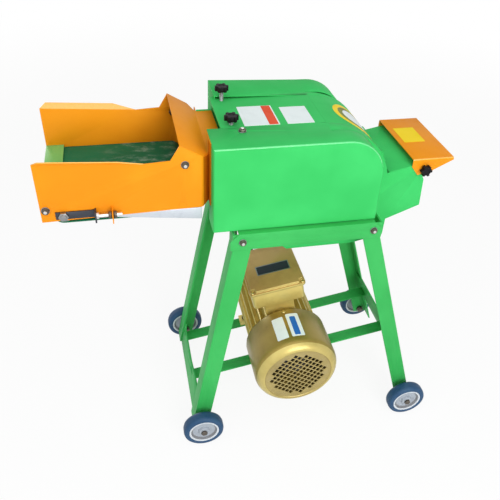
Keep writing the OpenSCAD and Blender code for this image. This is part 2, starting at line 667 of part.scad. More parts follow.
module tail_plate() color([0.45, 0.75, 0.40]) place() difference() {
  translate([tray_x0, wall_n, belt_z - 22]) {
    cube([sheet, tray_w, 24]);
    translate([0, 0, 24]) cube([38, tray_w, sheet]);
    for (y = [0, tray_w - 2]) translate([0, y, 0]) cube([19, 2, 25]);
  }
  for (y = [wall_n - 1, wall_f - 4]) hole_y(wall_bolts[1], bolt_r + fit, y, y + 5);
}
throat_x0 = belt_end + 2;
throat_x1 = feed_x - feed_r - 2;
module throat_floor() color(orange) place() translate([0, tray_y, belt_z - 6]) linear_extrude(3)
  polygon([[throat_x0, -chamber_w / 2 - 12], [case_x - 3, -chamber_w / 2], [throat_x1, -chamber_w / 2],
    [throat_x1, chamber_w / 2], [case_x - 3, chamber_w / 2], [throat_x0, chamber_w / 2 + 12]]);
pan_x0 = tray_x0 + 140;
pan_x1 = bend_x - 2;
pan_z0 = wall_bot - 2;
pan_z1 = wall_bot - 23;
pan_x = tray_x0 + 228;
pan_z = pan_z0 + (pan_z1 - pan_z0) * (pan_x - pan_x0) / (pan_x1 - pan_x0);
module belt_pan() color([0.80, 0.82, 0.84]) place() {
  across(wall_n, tray_w)
    polygon([[pan_x, pan_z], [pan_x1, pan_z1], [pan_x1, pan_z1 + sheet], [pan_x, pan_z + sheet]]);
  for (y = [wall_n, wall_f - sheet]) across(y, sheet)
    polygon([[pan_x0, pan_z0], [pan_x1, pan_z1], [pan_x1, wall_bot + 5], [pan_x0, wall_bot + 5]]);
}

// Conveyor: belt loop on two rollers, the tail one on a sliding take-up yoke
belt_y0 = wall_n + 3;
belt_w = tray_w - 6;
module conveyor_belt() color([0.11, 0.37, 0.25]) place()
  loop([tail_x, roll_z], drum_rr + fit, [drive_x, roll_z], drum_rr + fit, belt_y0 + belt_w)
    square([belt_t, belt_w]);
module drive_roller() color(steel) place() {
  bar([drive_x, roll_z], drum_rr, belt_y0, belt_y0 + belt_w, 72);
  bar([drive_x, roll_z], 8, wall_n - sheet, chain_y + 8);
  bar([drive_x, roll_z], 20, chain_y, chain_y + 5, 72);
}
module tail_roller() color(steel) place() difference() {
  bar([tail_x, roll_z], drum_rr, belt_y0, belt_y0 + belt_w, 72);
  bar([tail_x, roll_z], axle_r + fit, belt_y0 - 1, belt_y0 + belt_w + 1);
}
yoke_x0 = tail_x - 15;
yoke_x1 = tail_x + 62;
module takeup_yoke() color([0.30, 0.31, 0.34]) place() {
  bar([tail_x, roll_z], axle_r, wall_n - sheet - 12, wall_f + sheet + 12);
  for (s = [-1, 1]) translate([0, s > 0 ? wall_f + sheet : wall_n - sheet, roll_z]) {
    translate([yoke_x0, s > 0 ? 0.3 : -3.3, -8]) cube([yoke_x1 - yoke_x0, 3, 16]);
    translate([yoke_x1 - 3, s > 0 ? 0.3 : -21, -11]) cube([3, 20.7, 22]);
    translate([tail_x, s * 3.3, 0]) rotate([s * -90, 0, 0]) cylinder(r = 10, h = 6, $fn = 6);
    translate([yoke_x1 - 1, s * (lug_o - sheet), 0]) rotate([0, 90, 0])
      cylinder(r = screw_r, h = 50, $fn = 32);
    translate([yoke_x1 - 0.5, s * (lug_o - sheet), 0]) rotate([0, 90, 0]) cylinder(r = 7, h = 5, $fn = 6);
  }
}

// Cutting rotor: shaft with its pinion, hub tube and two four-armed spiders
spider_y = [near_y + 14, far_y - 14 - 8];
module rotor() color(steel) place() {
  bar([rot_x, rot_z], main_r, cover_y + 4, belt_back - 4, 72);
  spur(g_rot, z_pin, a_one, plane_a - gear_w - 1, gear_w + 2);
  bar([rot_x, rot_z], 28, spider_y[0] - 3, spider_y[1] + 11);
  for (y = spider_y, a = [45, 135]) translate([rot_x, y, rot_z]) rotate([0, a, 0])
    translate([8 - rotor_r, 0, -arm_t / 2]) cube([2 * rotor_r - 16, 8, arm_t]);
}
module knives() color([0.60, 0.62, 0.66]) place() for (a = [45 : 90 : 315])
  translate([rot_x, near_y + 4, rot_z]) rotate([0, a, 0])
    translate([rotor_r - 52, 0, arm_t / 2]) cube([52, chamber_w - 8, knife_t]);

// V-belt pulleys and belt
module pulley(p, rp, bore) turned(p, pul_y) polygon(concat([[bore + 0.02, 0]], [[rp + 4, 0], [rp + 4, 2],
  [rp - 9, 2 + 13 * tan(18)], [rp - 9, pul_w - 2 - 13 * tan(18)], [rp + 4, pul_w - 2], [rp + 4, pul_w]],
  [[bore + 0.02, pul_w]]));
module rotor_pulley() color([0.35, 0.36, 0.38]) place() pulley(g_rot, pulley_r, main_r);
module motor_pulley() color([0.35, 0.36, 0.38]) place() pulley(mot, pulley_m, shaft_r);
module v_belt() color(black) place() loop(mot, pulley_m, g_rot, pulley_r, pul_y + pul_w / 2)
  polygon([for (q = [[-6, 1], [3, 1], [3, -1], [-6, -1]])
    [q[0], q[1] * (pul_w / 2 - 2 - (4 - q[0]) * tan(18) - 0.1)]]);

// Pillow-block bearings on the rails
brg_foot = 12;
brg_w = 22;
module shaft_bearings() color([0.40, 0.42, 0.45]) place() for (s = [1, -1]) difference() {
  union() {
    translate([rot_x - 60, brg_y(s) - brg_w / 2, rail_z]) cube([120, brg_w, brg_foot]);
    bar([rot_x, rot_z], 33, brg_y(s) - brg_w / 2, brg_y(s) + brg_w / 2, 72);
    translate([rot_x - 33, brg_y(s) - brg_w / 2, rail_z]) cube([66, brg_w, brg_h]);
  }
  bar([rot_x, rot_z], main_r + fit, brg_y(s) - brg_w, brg_y(s) + brg_w, 72);
  for (x = [-brg_bolt, brg_bolt]) hole_z(rot_x + x, brg_y(s), bolt_r + fit, rail_z - 1, rail_z + 99);
}

// Feed gears and rollers
module first_idler() color(steel) place() difference() {
  union() {
    spur(g_one, z_big, ph_one, plane_a - gear_w, gear_w);
    spur(g_one, z_pin, a_two, plane_a - 0.5, plane_b - plane_a + 1);
  }
  bar(g_one, 8 + fit, plane_a - 20, near_o);
}
module second_idler() color(steel) place() difference() {
  spur(g_two, z_mid, ph_two, plane_b - gear_w, gear_w);
  bar(g_two, 8 + fit, plane_a - 20, near_o);
}
module ribbed(p) {
  bar(p, feed_r - 5, near_y + 1, far_y - 1, 72);
  for (i = [0 : 11]) translate([p[0], near_y + 1, p[1]]) rotate([0, 30 * i, 0])
    translate([feed_r - 8, 0, -2.5]) cube([8, chamber_w - 2, 5]);
}
module lower_roller() color(steel) place() {
  ribbed(g_low);
  bar(g_low, 10, plane_c - gear_w - 3, chain_y + 8);
  spur(g_low, z_feed, ph_low, plane_b - gear_w, gear_w);
  spur(g_low, z_pair, 90, plane_c - gear_w, gear_w);
  bar(g_low, 20, chain_y, chain_y + 5, 72);
}
module upper_roller() color(steel) place() {
  ribbed(g_up);
  bar(g_up, 8, plane_c - gear_w - 3, far_o + 8);
  spur(g_up, z_pair, ph_up, plane_c - gear_w, gear_w);
}
module float_blocks() color([0.40, 0.42, 0.45]) place() for (y = [near_o - 3.8, far_o + 0.3]) difference() {
  translate([feed_x - 16, y, up_z - 14]) cube([32, 3.5, 28]);
  bar(g_up, 8 + fit, y - 1, y + 5);
}
module feed_chain() color([0.25, 0.25, 0.27]) place()
  loop([drive_x, roll_z], 20 + fit, g_low, 20 + fit, chain_y + 5) square([4, 5]);

// Motor: finned frame with feet and terminal box, fan cover, shaft with fan
foot_t = 12;
fins = 30;
box_x = 64;
box_y0 = -76;
box_y1 = 78;
box_z0 = 122;
neck_x = 36;
box_z1 = 166;
box_t = 4;
box_mid = (box_y0 + box_y1) / 2;
inlet_r = 10;
inlet_l = 8;
inlet_z = (box_z0 + box_z1) / 2;
box_corner = 9;
foot_l = 196;
foot_w = 30;
lid_o = 5;
lid_t = 12;
module rounded(x0, y0, x1, y1, r) polygon([for (c = [[x1 - r, y1 - r, 0], [x0 + r, y1 - r, 90],
  [x0 + r, y0 + r, 180], [x1 - r, y0 + r, 270]], a = [0 : 15 : 90])
  [c[0], c[1]] + r * [cos(c[2] + a), sin(c[2] + a)]]);
module motor_body() color(gold) place() motor_place() difference() {
  union() {
    bar([0, 0], core_r, fan_y + fan_len - 6, mot_end - 22, 96);
    for (i = [0 : fins - 1]) rotate([0, 360 / fins * (i + 0.5), 0])
      translate([core_r - 3, fan_y + fan_len + 4, -1.5])
        cube([fin_r - core_r + 3, mot_end - fan_len - fan_y - 30, 3]);
    turned([0, 0], fan_y + fan_len - 16, 96) polygon([[0, 0], [motor_r - 3 - fit, 0],
      [motor_r - 3 - fit, 18], [fin_r - 4, 24], [0, 24]]);
    turned([0, 0], mot_end - 26, 96) polygon([[0, 0], [fin_r + 2, 0], [fin_r + 2, 12], [fin_r - 18, 20],
      [40, 24], [36, 26], [0, 26]]);
    for (y = rail_mid) {
      translate([-foot_l / 2, y - foot_w / 2, -mot_h]) cube([foot_l, foot_w, foot_t]);
      for (x = [-66, 54]) translate([x, y - foot_w / 2, -mot_h]) cube([12, foot_w, mot_h - 40]);
    }
    translate([-neck_x, box_y0 + 8, core_r - 20])
      cube([2 * neck_x, box_y1 - box_y0 - 16, box_z0 - core_r + 21]);
    translate([0, 0, box_z0]) linear_extrude(box_z1 - box_z0)
      rounded(-box_x, box_y0, box_x, box_y1, box_corner);
    translate([box_x - box_t, box_mid, inlet_z]) rotate([0, 90, 0])
      cylinder(r = inlet_r + 5, h = box_t + inlet_l, $fn = 48);
  }
  translate([box_t - box_x, box_y0 + box_t, box_z0 + box_t])
    cube([2 * (box_x - box_t), box_y1 - box_y0 - 2 * box_t, box_z1 - box_z0]);
  bar([0, 0], shaft_r + fit, fan_y + 20, mot_end + 9, 72);
  for (x = [-foot_bx, foot_bx], y = rail_mid) hole_z(x, y, bolt_r + 1 + fit, -mot_h - 1, foot_t - mot_h + 1);
  translate([box_x - 2 * box_t, box_mid, inlet_z]) rotate([0, 90, 0])
    cylinder(r = inlet_r, h = 4 * box_t + inlet_l, $fn = 48);
}
module terminal_lid() color(gold) place() motor_place() translate([0, 0, box_z1]) {
  linear_extrude(lid_t / 2)
    rounded(-box_x - lid_o, box_y0 - lid_o, box_x + lid_o, box_y1 + lid_o, box_corner);
  for (k = [0, 1]) linear_extrude(lid_t) rounded(lid_o * (2 * k) - box_x, box_y0 + lid_o * (2 - 2 * k),
    box_x - lid_o * (2 * k), box_y1 - lid_o * (2 - 2 * k), 2);
}
grid_r = 70;
grid_p = 11.5;
grid_s = 7;
cells = floor(grid_r / grid_p);
panel_r = grid_r + 10;
panel_in = 2;
module fan_cover() color(gold) place() motor_place() difference() {
  turned([0, 0], fan_y, 96)
    polygon([[0, panel_in], [panel_r - 1, panel_in], [panel_r + 1, 0], [motor_r - 16, 0.8],
    [motor_r - 10, 4], [motor_r - 5, 9.5], [motor_r - 1.5, 17], [motor_r, 26], [motor_r, fan_len],
    [motor_r - 3, fan_len], [motor_r - 3, 27], [motor_r - 5, 19], [motor_r - 8, 12], [motor_r - 12, 7],
    [motor_r - 17, 4], [panel_r, panel_in + 3], [0, panel_in + 3]]);
  rotate([0, 45, 0]) for (i = [-cells : cells], j = [-cells : cells]) if (norm([i, j]) * grid_p < grid_r - 4)
    translate([i * grid_p - grid_s / 2, fan_y - 1, j * grid_p - grid_s / 2])
      cube([grid_s, panel_in + 5, grid_s]);
}
module motor_shaft() color([0.20, 0.20, 0.22]) place() motor_place() {
  bar([0, 0], shaft_r, fan_y + 24, belt_back - 6, 72);
  bar([0, 0], 30, fan_y + 40, fan_y + 70);
  for (i = [0 : 7]) rotate([0, 45 * i, 0]) translate([20, fan_y + 40, -1.5]) cube([motor_r - 34, 36, 3]);
}

front_rail();
rear_rail();
left_cross_rail();
front_left_leg();
front_right_leg();
rear_left_leg();
rear_right_leg();
left_end_plate();
right_end_plate();
motor_rails();
front_left_hub();
front_left_tyre();
front_right_hub();
front_right_tyre();
rear_left_hub();
rear_left_tyre();
rear_right_hub();
rear_right_tyre();
axle_bolts();
hex_bolts();
near_side_plate();
far_side_plate();
drum_pan();
chute_roof();
shear_bar();
cover_bar();
gear_cover();
belt_cover();
top_cover();
cover_knob_near();
cover_knob_far();
deflector_flap();
flap_knob_near();
flap_knob_far();
near_tray_wall();
far_tray_wall();
hood();
tail_plate();
throat_floor();
belt_pan();
conveyor_belt();
drive_roller();
tail_roller();
takeup_yoke();
rotor();
knives();
rotor_pulley();
shaft_bearings();
first_idler();
second_idler();
lower_roller();
upper_roller();
float_blocks();
feed_chain();
motor_body();
fan_cover();
terminal_lid();
motor_shaft();
motor_pulley();
v_belt();
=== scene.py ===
import json
import math
import bpy
from mathutils import Matrix, Vector

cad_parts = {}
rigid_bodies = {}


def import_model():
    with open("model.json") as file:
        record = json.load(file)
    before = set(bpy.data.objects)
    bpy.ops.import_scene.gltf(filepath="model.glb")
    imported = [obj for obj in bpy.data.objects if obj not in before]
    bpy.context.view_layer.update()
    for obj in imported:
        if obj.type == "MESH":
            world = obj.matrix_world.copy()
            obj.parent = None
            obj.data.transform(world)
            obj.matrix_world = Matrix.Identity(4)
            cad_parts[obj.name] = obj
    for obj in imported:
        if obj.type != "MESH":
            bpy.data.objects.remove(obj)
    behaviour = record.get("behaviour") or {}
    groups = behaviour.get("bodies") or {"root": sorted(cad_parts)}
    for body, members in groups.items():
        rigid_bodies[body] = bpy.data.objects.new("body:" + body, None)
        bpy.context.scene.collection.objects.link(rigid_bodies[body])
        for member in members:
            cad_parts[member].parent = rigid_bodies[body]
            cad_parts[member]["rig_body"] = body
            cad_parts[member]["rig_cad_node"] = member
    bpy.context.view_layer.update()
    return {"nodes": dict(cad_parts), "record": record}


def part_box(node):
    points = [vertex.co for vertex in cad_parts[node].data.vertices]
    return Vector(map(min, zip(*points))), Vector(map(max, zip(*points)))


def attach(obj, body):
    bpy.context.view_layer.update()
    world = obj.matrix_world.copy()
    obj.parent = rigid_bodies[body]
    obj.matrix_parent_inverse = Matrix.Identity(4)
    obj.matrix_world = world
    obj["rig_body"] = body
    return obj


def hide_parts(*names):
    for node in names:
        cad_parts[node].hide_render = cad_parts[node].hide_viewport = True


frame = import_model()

nodes = frame["nodes"]
slotOf = {s["node"]: s["material_slot"] for s in frame["record"]["subparts"]}
bodyOf = {n: b for b, names in frame["record"]["behaviour"]["bodies"].items() for n in names}
frameX = 0.123  # the drawing's zero lies this far along X in the part's frame
coverTop = 0.786  # height of the top cover's flat
print("frame loaded,", len(nodes), "nodes")


# camera, lights and floor

viewSetup = {"place": (-0.3952 + frameX, -1.0824, 1.3146), "yaw": 13.8, "pitch": 37.8, "roll": 3.05,
             "focal": 590.5, "frame": 500, "sensor": 36}  # focal length and frame in pixels


def setCamera(c):
    yaw, pitch, roll = (math.radians(c[k]) for k in ("yaw", "pitch", "roll"))
    ahead = Vector((math.sin(yaw) * math.cos(pitch), math.cos(yaw) * math.cos(pitch), -math.sin(pitch)))
    side = Vector((math.cos(yaw), -math.sin(yaw), 0))
    up = side.cross(ahead)
    right = side * math.cos(roll) + up * math.sin(roll)
    top = up * math.cos(roll) - side * math.sin(roll)
    bpy.ops.object.camera_add(location=c["place"])
    cam = bpy.context.active_object
    cam.rotation_euler = Matrix((right, top, -ahead)).transposed().to_euler()
    cam.data.sensor_width = c["sensor"]
    cam.data.lens = c["focal"] / c["frame"] * c["sensor"]
    cam.data.clip_start = 0.05
    cam.data.clip_end = 60
    bpy.context.scene.camera = cam


lampSetup = {
    "key": {"place": (0.5, -2.8, 1.7), "aim": (0.05, 0.0, 0.45), "size": 1.6, "power": 60},
    "fill": {"place": (-2.3, -1.6, 1.6), "aim": (0.0, 0.0, 0.5), "size": 2.4, "power": 12},
    "sky": {"place": (-0.4, -0.9, 3.2), "aim": (0.0, 0.0, 0.6), "size": 2.6, "power": 26},
    "rear": {"place": (-2.0, 5.2, 0.4), "aim": (0.0, 0.0, 0.4), "size": 0.6, "power": 56},
}


def setLamps(lamps):
    for name, s in lamps.items():
        bpy.ops.object.light_add(type="AREA", location=s["place"])
        lamp = bpy.context.active_object
        lamp.name = name + "Lamp"
        lamp.data.size = s["size"]
        lamp.data.energy = s["power"]
        lamp.rotation_euler = (Vector(s["aim"]) - Vector(s["place"])).to_track_quat("-Z", "Y").to_euler()


class Wire:
    # one socket of a node tree; sums and products of wires and numbers become Math nodes

    def __init__(self, tree, socket=None):
        self.tree = tree
        self.socket = socket

    def add(self, kind, settings, values, out=0):
        made = self.tree.nodes.new(kind)
        for key, value in settings.items():
            setattr(made, key, value)
        for key, value in values.items():
            if isinstance(value, Wire):
                self.tree.links.new(value.socket, made.inputs[key])
            else:
                made.inputs[key].default_value = value
        return Wire(self.tree, made.outputs[out])

    def sum2(self, operation, a, b):
        return self.add("ShaderNodeMath", {"operation": operation}, {0: a, 1: b})

    def __add__(self, other):
        return self.sum2("ADD", self, other)

    def __mul__(self, other):
        return self.sum2("MULTIPLY", self, other)

    def clip(self):
        return self.add("ShaderNodeClamp", {}, {0: self})

    def span(self, a, b, c=0.0, d=1.0):
        return self.add("ShaderNodeMapRange", {"interpolation_type": "SMOOTHSTEP"},
                        {0: self, 1: a, 2: b, 3: c, 4: d})

    def mix(self, a, b):  # self is the share of colour b
        return self.add("ShaderNodeMix", {"data_type": "RGBA"}, {0: self, 6: a, 7: b}, 2)

    def part(self, axis):
        return self.add("ShaderNodeSeparateXYZ", {}, {0: self}, "XYZ".index(axis))

    def noise(self, scale, detail=3.0, rough=0.5, stretch=(1, 1, 1)):
        moved = self.add("ShaderNodeMapping", {}, {"Vector": self, "Scale": stretch})
        return self.add("ShaderNodeTexNoise", {}, {"Vector": moved, "Scale": scale, "Detail": detail,
                                                   "Roughness": rough})

    def cells(self, scale):
        return self.add("ShaderNodeTexVoronoi", {"feature": "F1"}, {"Vector": self, "Scale": scale})

    def bump(self, strength, distance):
        return self.add("ShaderNodeBump", {}, {"Strength": strength, "Distance": distance, "Height": self})


def newLook(name):
    look = bpy.data.materials.new(name)
    look.use_nodes = True
    tree = look.node_tree
    shader = tree.nodes["Principled BSDF"]
    place = Wire(tree).add("ShaderNodeTexCoord", {}, {}, 3)  # Object coordinates
    return look, tree, shader, place


def feed(tree, shader, **values):
    for key, value in values.items():
        name = {"colour": "Base Color", "rough": "Roughness", "metal": "Metallic", "coat": "Coat Weight",
                "normal": "Normal", "coatRough": "Coat Roughness", "specular": "Specular IOR Level"}[key]
        if isinstance(value, Wire):
            tree.links.new(value.socket, shader.inputs[name])
        else:
            shader.inputs[name].default_value = value


def rgb(r, g, b):  # screen colour 0 to 255 to linear
    return tuple(((v / 255) / 12.92 if v < 11 else ((v / 255 + 0.055) / 1.055) ** 2.4) for v in (r, g, b)) + (1.0,)


def seenRays(tree):  # 1 where the camera sees the place itself, its reflection or through glass
    path = tree.nodes.new("ShaderNodeLightPath")
    return (Wire(tree, path.outputs["Is Camera Ray"]) + Wire(tree, path.outputs["Is Glossy Ray"])
            + Wire(tree, path.outputs["Is Transmission Ray"])).clip()


worldSetup = {"light": 0.38, "shown": 1.0}  # soft light on the part, white where it is seen


def setWorld(s):
    world = bpy.data.worlds.new("studio")
    bpy.context.scene.world = world
    world.use_nodes = True
    tree = world.node_tree
    tree.nodes.clear()
    w = Wire(tree)
    seen = seenRays(tree)
    soft = w.add("ShaderNodeBackground", {}, {"Color": (1, 1, 1, 1), "Strength": s["light"]})
    white = w.add("ShaderNodeBackground", {}, {"Color": (1, 1, 1, 1), "Strength": s["shown"]})
    both = w.add("ShaderNodeMixShader", {}, {0: seen, 1: soft, 2: white})
    tree.links.new(both.socket, tree.nodes.new("ShaderNodeOutputWorld").inputs[0])


floorSetup = {"reach": 40.0, "drop": 0.0005, "tone": 0.93, "glow": 0.90, "fade": (1.2, 3.6)}  # white past the fade


def setFloor(f):
    bpy.ops.mesh.primitive_plane_add(size=f["reach"], location=(0, 0, -f["drop"]))
    floor = bpy.context.active_object
    floor.name = "floor"
    look, tree, shader, place = newLook("floorWhite")
    grain = place.noise(3.0, 2)
    feed(tree, shader, colour=(f["tone"], f["tone"], f["tone"], 1), rough=grain * 0.1 + 0.8, specular=0.1)
    seen = seenRays(tree)
    glow = place.add("ShaderNodeEmission", {}, {"Color": (1, 1, 1, 1), "Strength": 1.0})
    x, y = place.part("X"), place.part("Y")
    share = (x * x + y * y).span(f["fade"][0] ** 2, f["fade"][1] ** 2, f["glow"], 1.0)
    both = place.add("ShaderNodeMixShader", {}, {0: seen * share, 1: Wire(tree, shader.outputs[0]), 2: glow})
    tree.links.new(both.socket, tree.nodes["Material Output"].inputs[0])
    floor.data.materials.append(look)


setCamera(viewSetup)
setLamps(lampSetup)
setWorld(worldSetup)
setFloor(floorSetup)
bpy.context.scene.view_settings.view_transform = "Standard"
print("camera, lamps and floor set")


# finishes

def enamel(name, light, dark, grime, gloss=0.4, specular=0.12):  # shop paint with orange peel and handling marks
    look, tree, shader, place = newLook(name)
    broad = place.noise(5.0, 3)
    cloud = place.noise(38.0, 4, 0.6)
    scuff = place.noise(9.0, 6, 0.7, (1, 1, 0.25)).span(0.62, 0.78)
    speck = place.noise(420.0, 2).span(0.70, 0.76)
    tone = broad.span(0.35, 0.65).mix(light, dark)
    tone = (cloud.span(0.45, 0.8) * 0.25).mix(tone, dark)
    tone = (scuff * 0.10).mix(tone, grime)
    tone = (speck * 0.16).mix(tone, grime)
    peel = place.noise(260.0, 2) + place.noise(900.0, 1) * 0.3
    feed(tree, shader, colour=tone, rough=cloud * 0.14 + scuff * 0.12 + gloss, normal=peel.bump(0.05, 0.0006),
         coat=0.03, coatRough=0.25, specular=specular)
    return look


def metalFinish(name, colour, dull, rough, grain=(1, 1, 1), metal=1.0):
    look, tree, shader, place = newLook(name)
    lines = place.noise(160.0, 4, 0.6, grain)
    stain = place.noise(24.0, 5, 0.65).span(0.5, 0.8)
    feed(tree, shader, colour=(stain * 0.55).mix(colour, dull), rough=lines * 0.16 + stain * 0.12 + rough,
         metal=metal, normal=lines.bump(0.08, 0.0005))
    return look


def plasticFinish(name, colour, worn, rough, specular=0.4):
    look, tree, shader, place = newLook(name)
    grain = place.noise(700.0, 2)
    dust = place.noise(30.0, 4, 0.6).span(0.5, 0.85)
    feed(tree, shader, colour=(dust * 0.35).mix(colour, worn), rough=grain * 0.1 + dust * 0.15 + rough,
         normal=grain.bump(0.1, 0.0004), specular=specular)
    return look


def goldFinish(name, light, dark, metal=0.5):  # metallic paint over a cast frame
    look, tree, shader, place = newLook(name)
    flake = place.cells(1500.0)
    cast = place.noise(150.0, 3)
    shade = place.noise(12.0, 4, 0.6).span(0.4, 0.75)
    tone = shade.mix(light, dark)
    tone = (flake.span(0.0, 0.35, 1.0, 0.0) * 0.1).mix(tone, rgb(228, 206, 140))
    feed(tree, shader, colour=tone, metal=metal, rough=cast * 0.12 + shade * 0.06 + 0.34,
         normal=cast.bump(0.10, 0.0008), coat=0.35, coatRough=0.28, specular=0.2)
    return look


def beltFinish():  # rubberised web with a fine weave and chaff dust near the throat
    look, tree, shader, place = newLook("beltWeb")
    weave = place.add("ShaderNodeTexWave", {"bands_direction": "X"}, {"Vector": place, "Scale": 260.0}, 1)
    cross = place.add("ShaderNodeTexWave", {"bands_direction": "Y"}, {"Vector": place, "Scale": 260.0}, 1)
    near = place.part("X").span(-0.36, -0.24)
    dust = place.noise(55.0, 6, 0.7, (0.5, 1, 1)).span(0.46, 0.72) * (near * 0.9 + 0.08)
    tone = place.noise(7.0, 3).span(0.3, 0.7).mix(rgb(10, 104, 70), rgb(16, 118, 80))
    tone = dust.mix(tone, rgb(132, 164, 142))
    feed(tree, shader, colour=tone, rough=dust * 0.2 + 0.55, normal=(weave + cross).bump(0.12, 0.0005),
         specular=0.15)
    return look


def tyreFinish():
    look, tree, shader, place = newLook("tyreRubber")
    grain = place.noise(420.0, 3)
    rub = place.noise(26.0, 5, 0.65).span(0.45, 0.8)
    tone = (rub * 0.5).mix(rgb(30, 70, 106), rgb(60, 94, 122))
    feed(tree, shader, colour=tone, rough=grain * 0.12 + rub * 0.1 + 0.44, normal=grain.bump(0.15, 0.0005),
         specular=0.35)
    return look


def paperFinish(name, colour, tint):
    look, tree, shader, place = newLook(name)
    fade = place.noise(40.0, 4).span(0.4, 0.8)
    feed(tree, shader, colour=(fade * 0.3).mix(colour, tint), rough=fade * 0.1 + 0.5,
         normal=place.noise(300.0, 2).bump(0.03, 0.0003), specular=0.25)
    return look


green = enamel("greenEnamel", rgb(68, 204, 108), rgb(58, 190, 96), rgb(32, 124, 56), 0.4, 0.03)
standGreen = enamel("standEnamel", rgb(64, 184, 94), rgb(54, 172, 84), rgb(32, 110, 52), 0.42)
# a lighter green for the painted highlight on the covers' upper bends
bendHighlightGreen = enamel("paintedHighlightGreen", rgb(104, 222, 140), rgb(92, 212, 128), rgb(60, 160, 90), 0.2, 0.6)
# a lighter orange for the painted highlight on the flap's bends and the tray walls' lips
bendHighlightOrange = enamel("paintedHighlightOrange", rgb(252, 186, 84), rgb(246, 176, 70), rgb(206, 130, 50), 0.2, 0.6)
# a darker orange for painted shade on the tray walls' flanges
shadeOrange = enamel("paintedShadeOrange", rgb(206, 120, 14), rgb(190, 106, 12), rgb(126, 70, 14), 0.5, 0.05)
orange = enamel("orangeEnamel", rgb(246, 156, 24), rgb(238, 144, 18), rgb(176, 98, 18), 0.42)
paleGreen = enamel("paleGreenEnamel", rgb(132, 206, 114), rgb(120, 194, 104), rgb(86, 140, 70), 0.4)
zinc = metalFinish("zincPlate", rgb(158, 160, 162), rgb(104, 102, 98), 0.24)
boltIron = metalFinish("boltSteel", rgb(104, 98, 90), rgb(58, 54, 50), 0.3)
bright = metalFinish("brightZinc", rgb(222, 222, 220), rgb(170, 168, 162), 0.2)
galvanised = metalFinish("galvanisedSheet", rgb(214, 220, 228), rgb(176, 184, 194), 0.34, (1, 3, 1), 0.85)
steel = metalFinish("machinedSteel", rgb(150, 152, 156), rgb(98, 94, 90), 0.3, (1, 6, 1))
chainSteel = metalFinish("chainSteel", rgb(92, 88, 82), rgb(44, 40, 36), 0.32)
iron = metalFinish("darkIron", rgb(70, 72, 80), rgb(44, 44, 48), 0.42, metal=0.7)
black = plasticFinish("blackPlastic", rgb(13, 13, 15), rgb(40, 38, 38), 0.45, 0.2)
rubber = plasticFinish("blackRubber", rgb(22, 22, 22), rgb(62, 60, 56), 0.6, 0.2)
hubWhite = plasticFinish("hubPlastic", rgb(164, 172, 182), rgb(128, 130, 132), 0.42)
# a lighter plastic for a painted highlight on the hub's edge, and a darker one for painted shade in its recessed
# corner
hubEdgeHighlight = plasticFinish("hubEdgePaintedHighlight", rgb(206, 212, 218), rgb(176, 180, 184), 0.4)
hubCornerShade = plasticFinish("hubCornerPaintedShade", rgb(128, 130, 134), rgb(104, 100, 98), 0.55)
gold = goldFinish("goldPaint", rgb(218, 198, 116), rgb(192, 168, 90))
# a darker copy of the motor's gold: painted shade on the fan cover's shell
shellShadeGold = goldFinish("shellPaintedShadeGold", rgb(158, 136, 64), rgb(138, 116, 52))
# a lighter gold for painted highlights on the fan cover's shoulder ring and the lid's sides
rimHighlightGold = goldFinish("rimPaintedHighlightGold", rgb(198, 180, 106), rgb(178, 160, 88))
panelGold = goldFinish("panelGoldPaint", rgb(176, 158, 98), rgb(156, 138, 80))
lidGold = goldFinish("lidGoldPaint", rgb(212, 168, 100), rgb(188, 144, 80), 0.2)
belt = beltFinish()
tyre = tyreFinish()
whitePaper = paperFinish("whiteSticker", rgb(238, 248, 248), rgb(216, 228, 228))
orangePaper = paperFinish("orangeSticker", rgb(228, 78, 34), rgb(208, 66, 30))
yellowPaper = paperFinish("yellowSticker", rgb(252, 220, 16), rgb(240, 204, 16))
darkPlate = metalFinish("darkPlate", rgb(34, 44, 56), rgb(22, 28, 36), 0.4, metal=0.3)
bluePaper = paperFinish("blueSticker", rgb(40, 112, 196), rgb(32, 92, 170))
olivePaper = paperFinish("oliveSticker", rgb(120, 132, 48), rgb(96, 108, 44))
brass = metalFinish("brassPlate", rgb(206, 186, 120), rgb(160, 138, 78), 0.28)
print("finishes made")


# modelling helpers

def only(*objs):
    bpy.ops.object.select_all(action="DESELECT")
    for o in objs:
        o.select_set(True)
    bpy.context.view_layer.objects.active = objs[-1]


def paint(piece, look):
    piece.data.materials.clear()
    piece.data.materials.append(look)


def touchUp(piece, look, test):  # a second finish on the faces that pass the test
    piece.data.materials.append(look)
    place = len(piece.data.materials) - 1
    for f in piece.data.polygons:
        if test(f.center, f.normal):
            f.material_index = place


def settle(piece, body, slot, *stoodFor):
    only(piece)
    bpy.ops.object.transform_apply(location=True, rotation=True, scale=True)
    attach(piece, body)
    if stoodFor:
        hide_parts(*stoodFor)
    return piece


def editMode(kind="VERT"):
    bpy.ops.object.mode_set(mode="EDIT")
    bpy.ops.mesh.select_mode(type=kind)


def objectMode():
    bpy.ops.object.mode_set(mode="OBJECT")


def pickEdges(piece, test):
    editMode("EDGE")
    bpy.ops.mesh.select_all(action="DESELECT")
    objectMode()
    mesh = piece.data
    for e in mesh.edges:
        a, b = (mesh.vertices[v].co for v in e.vertices)
        e.select = bool(test(a, b))
    bpy.ops.object.mode_set(mode="EDIT")


def pickFaces(piece, test):
    editMode("FACE")
    bpy.ops.mesh.select_all(action="DESELECT")
    objectMode()
    for f in piece.data.polygons:
        f.select = bool(test(f.center, f.normal))
    bpy.ops.object.mode_set(mode="EDIT")


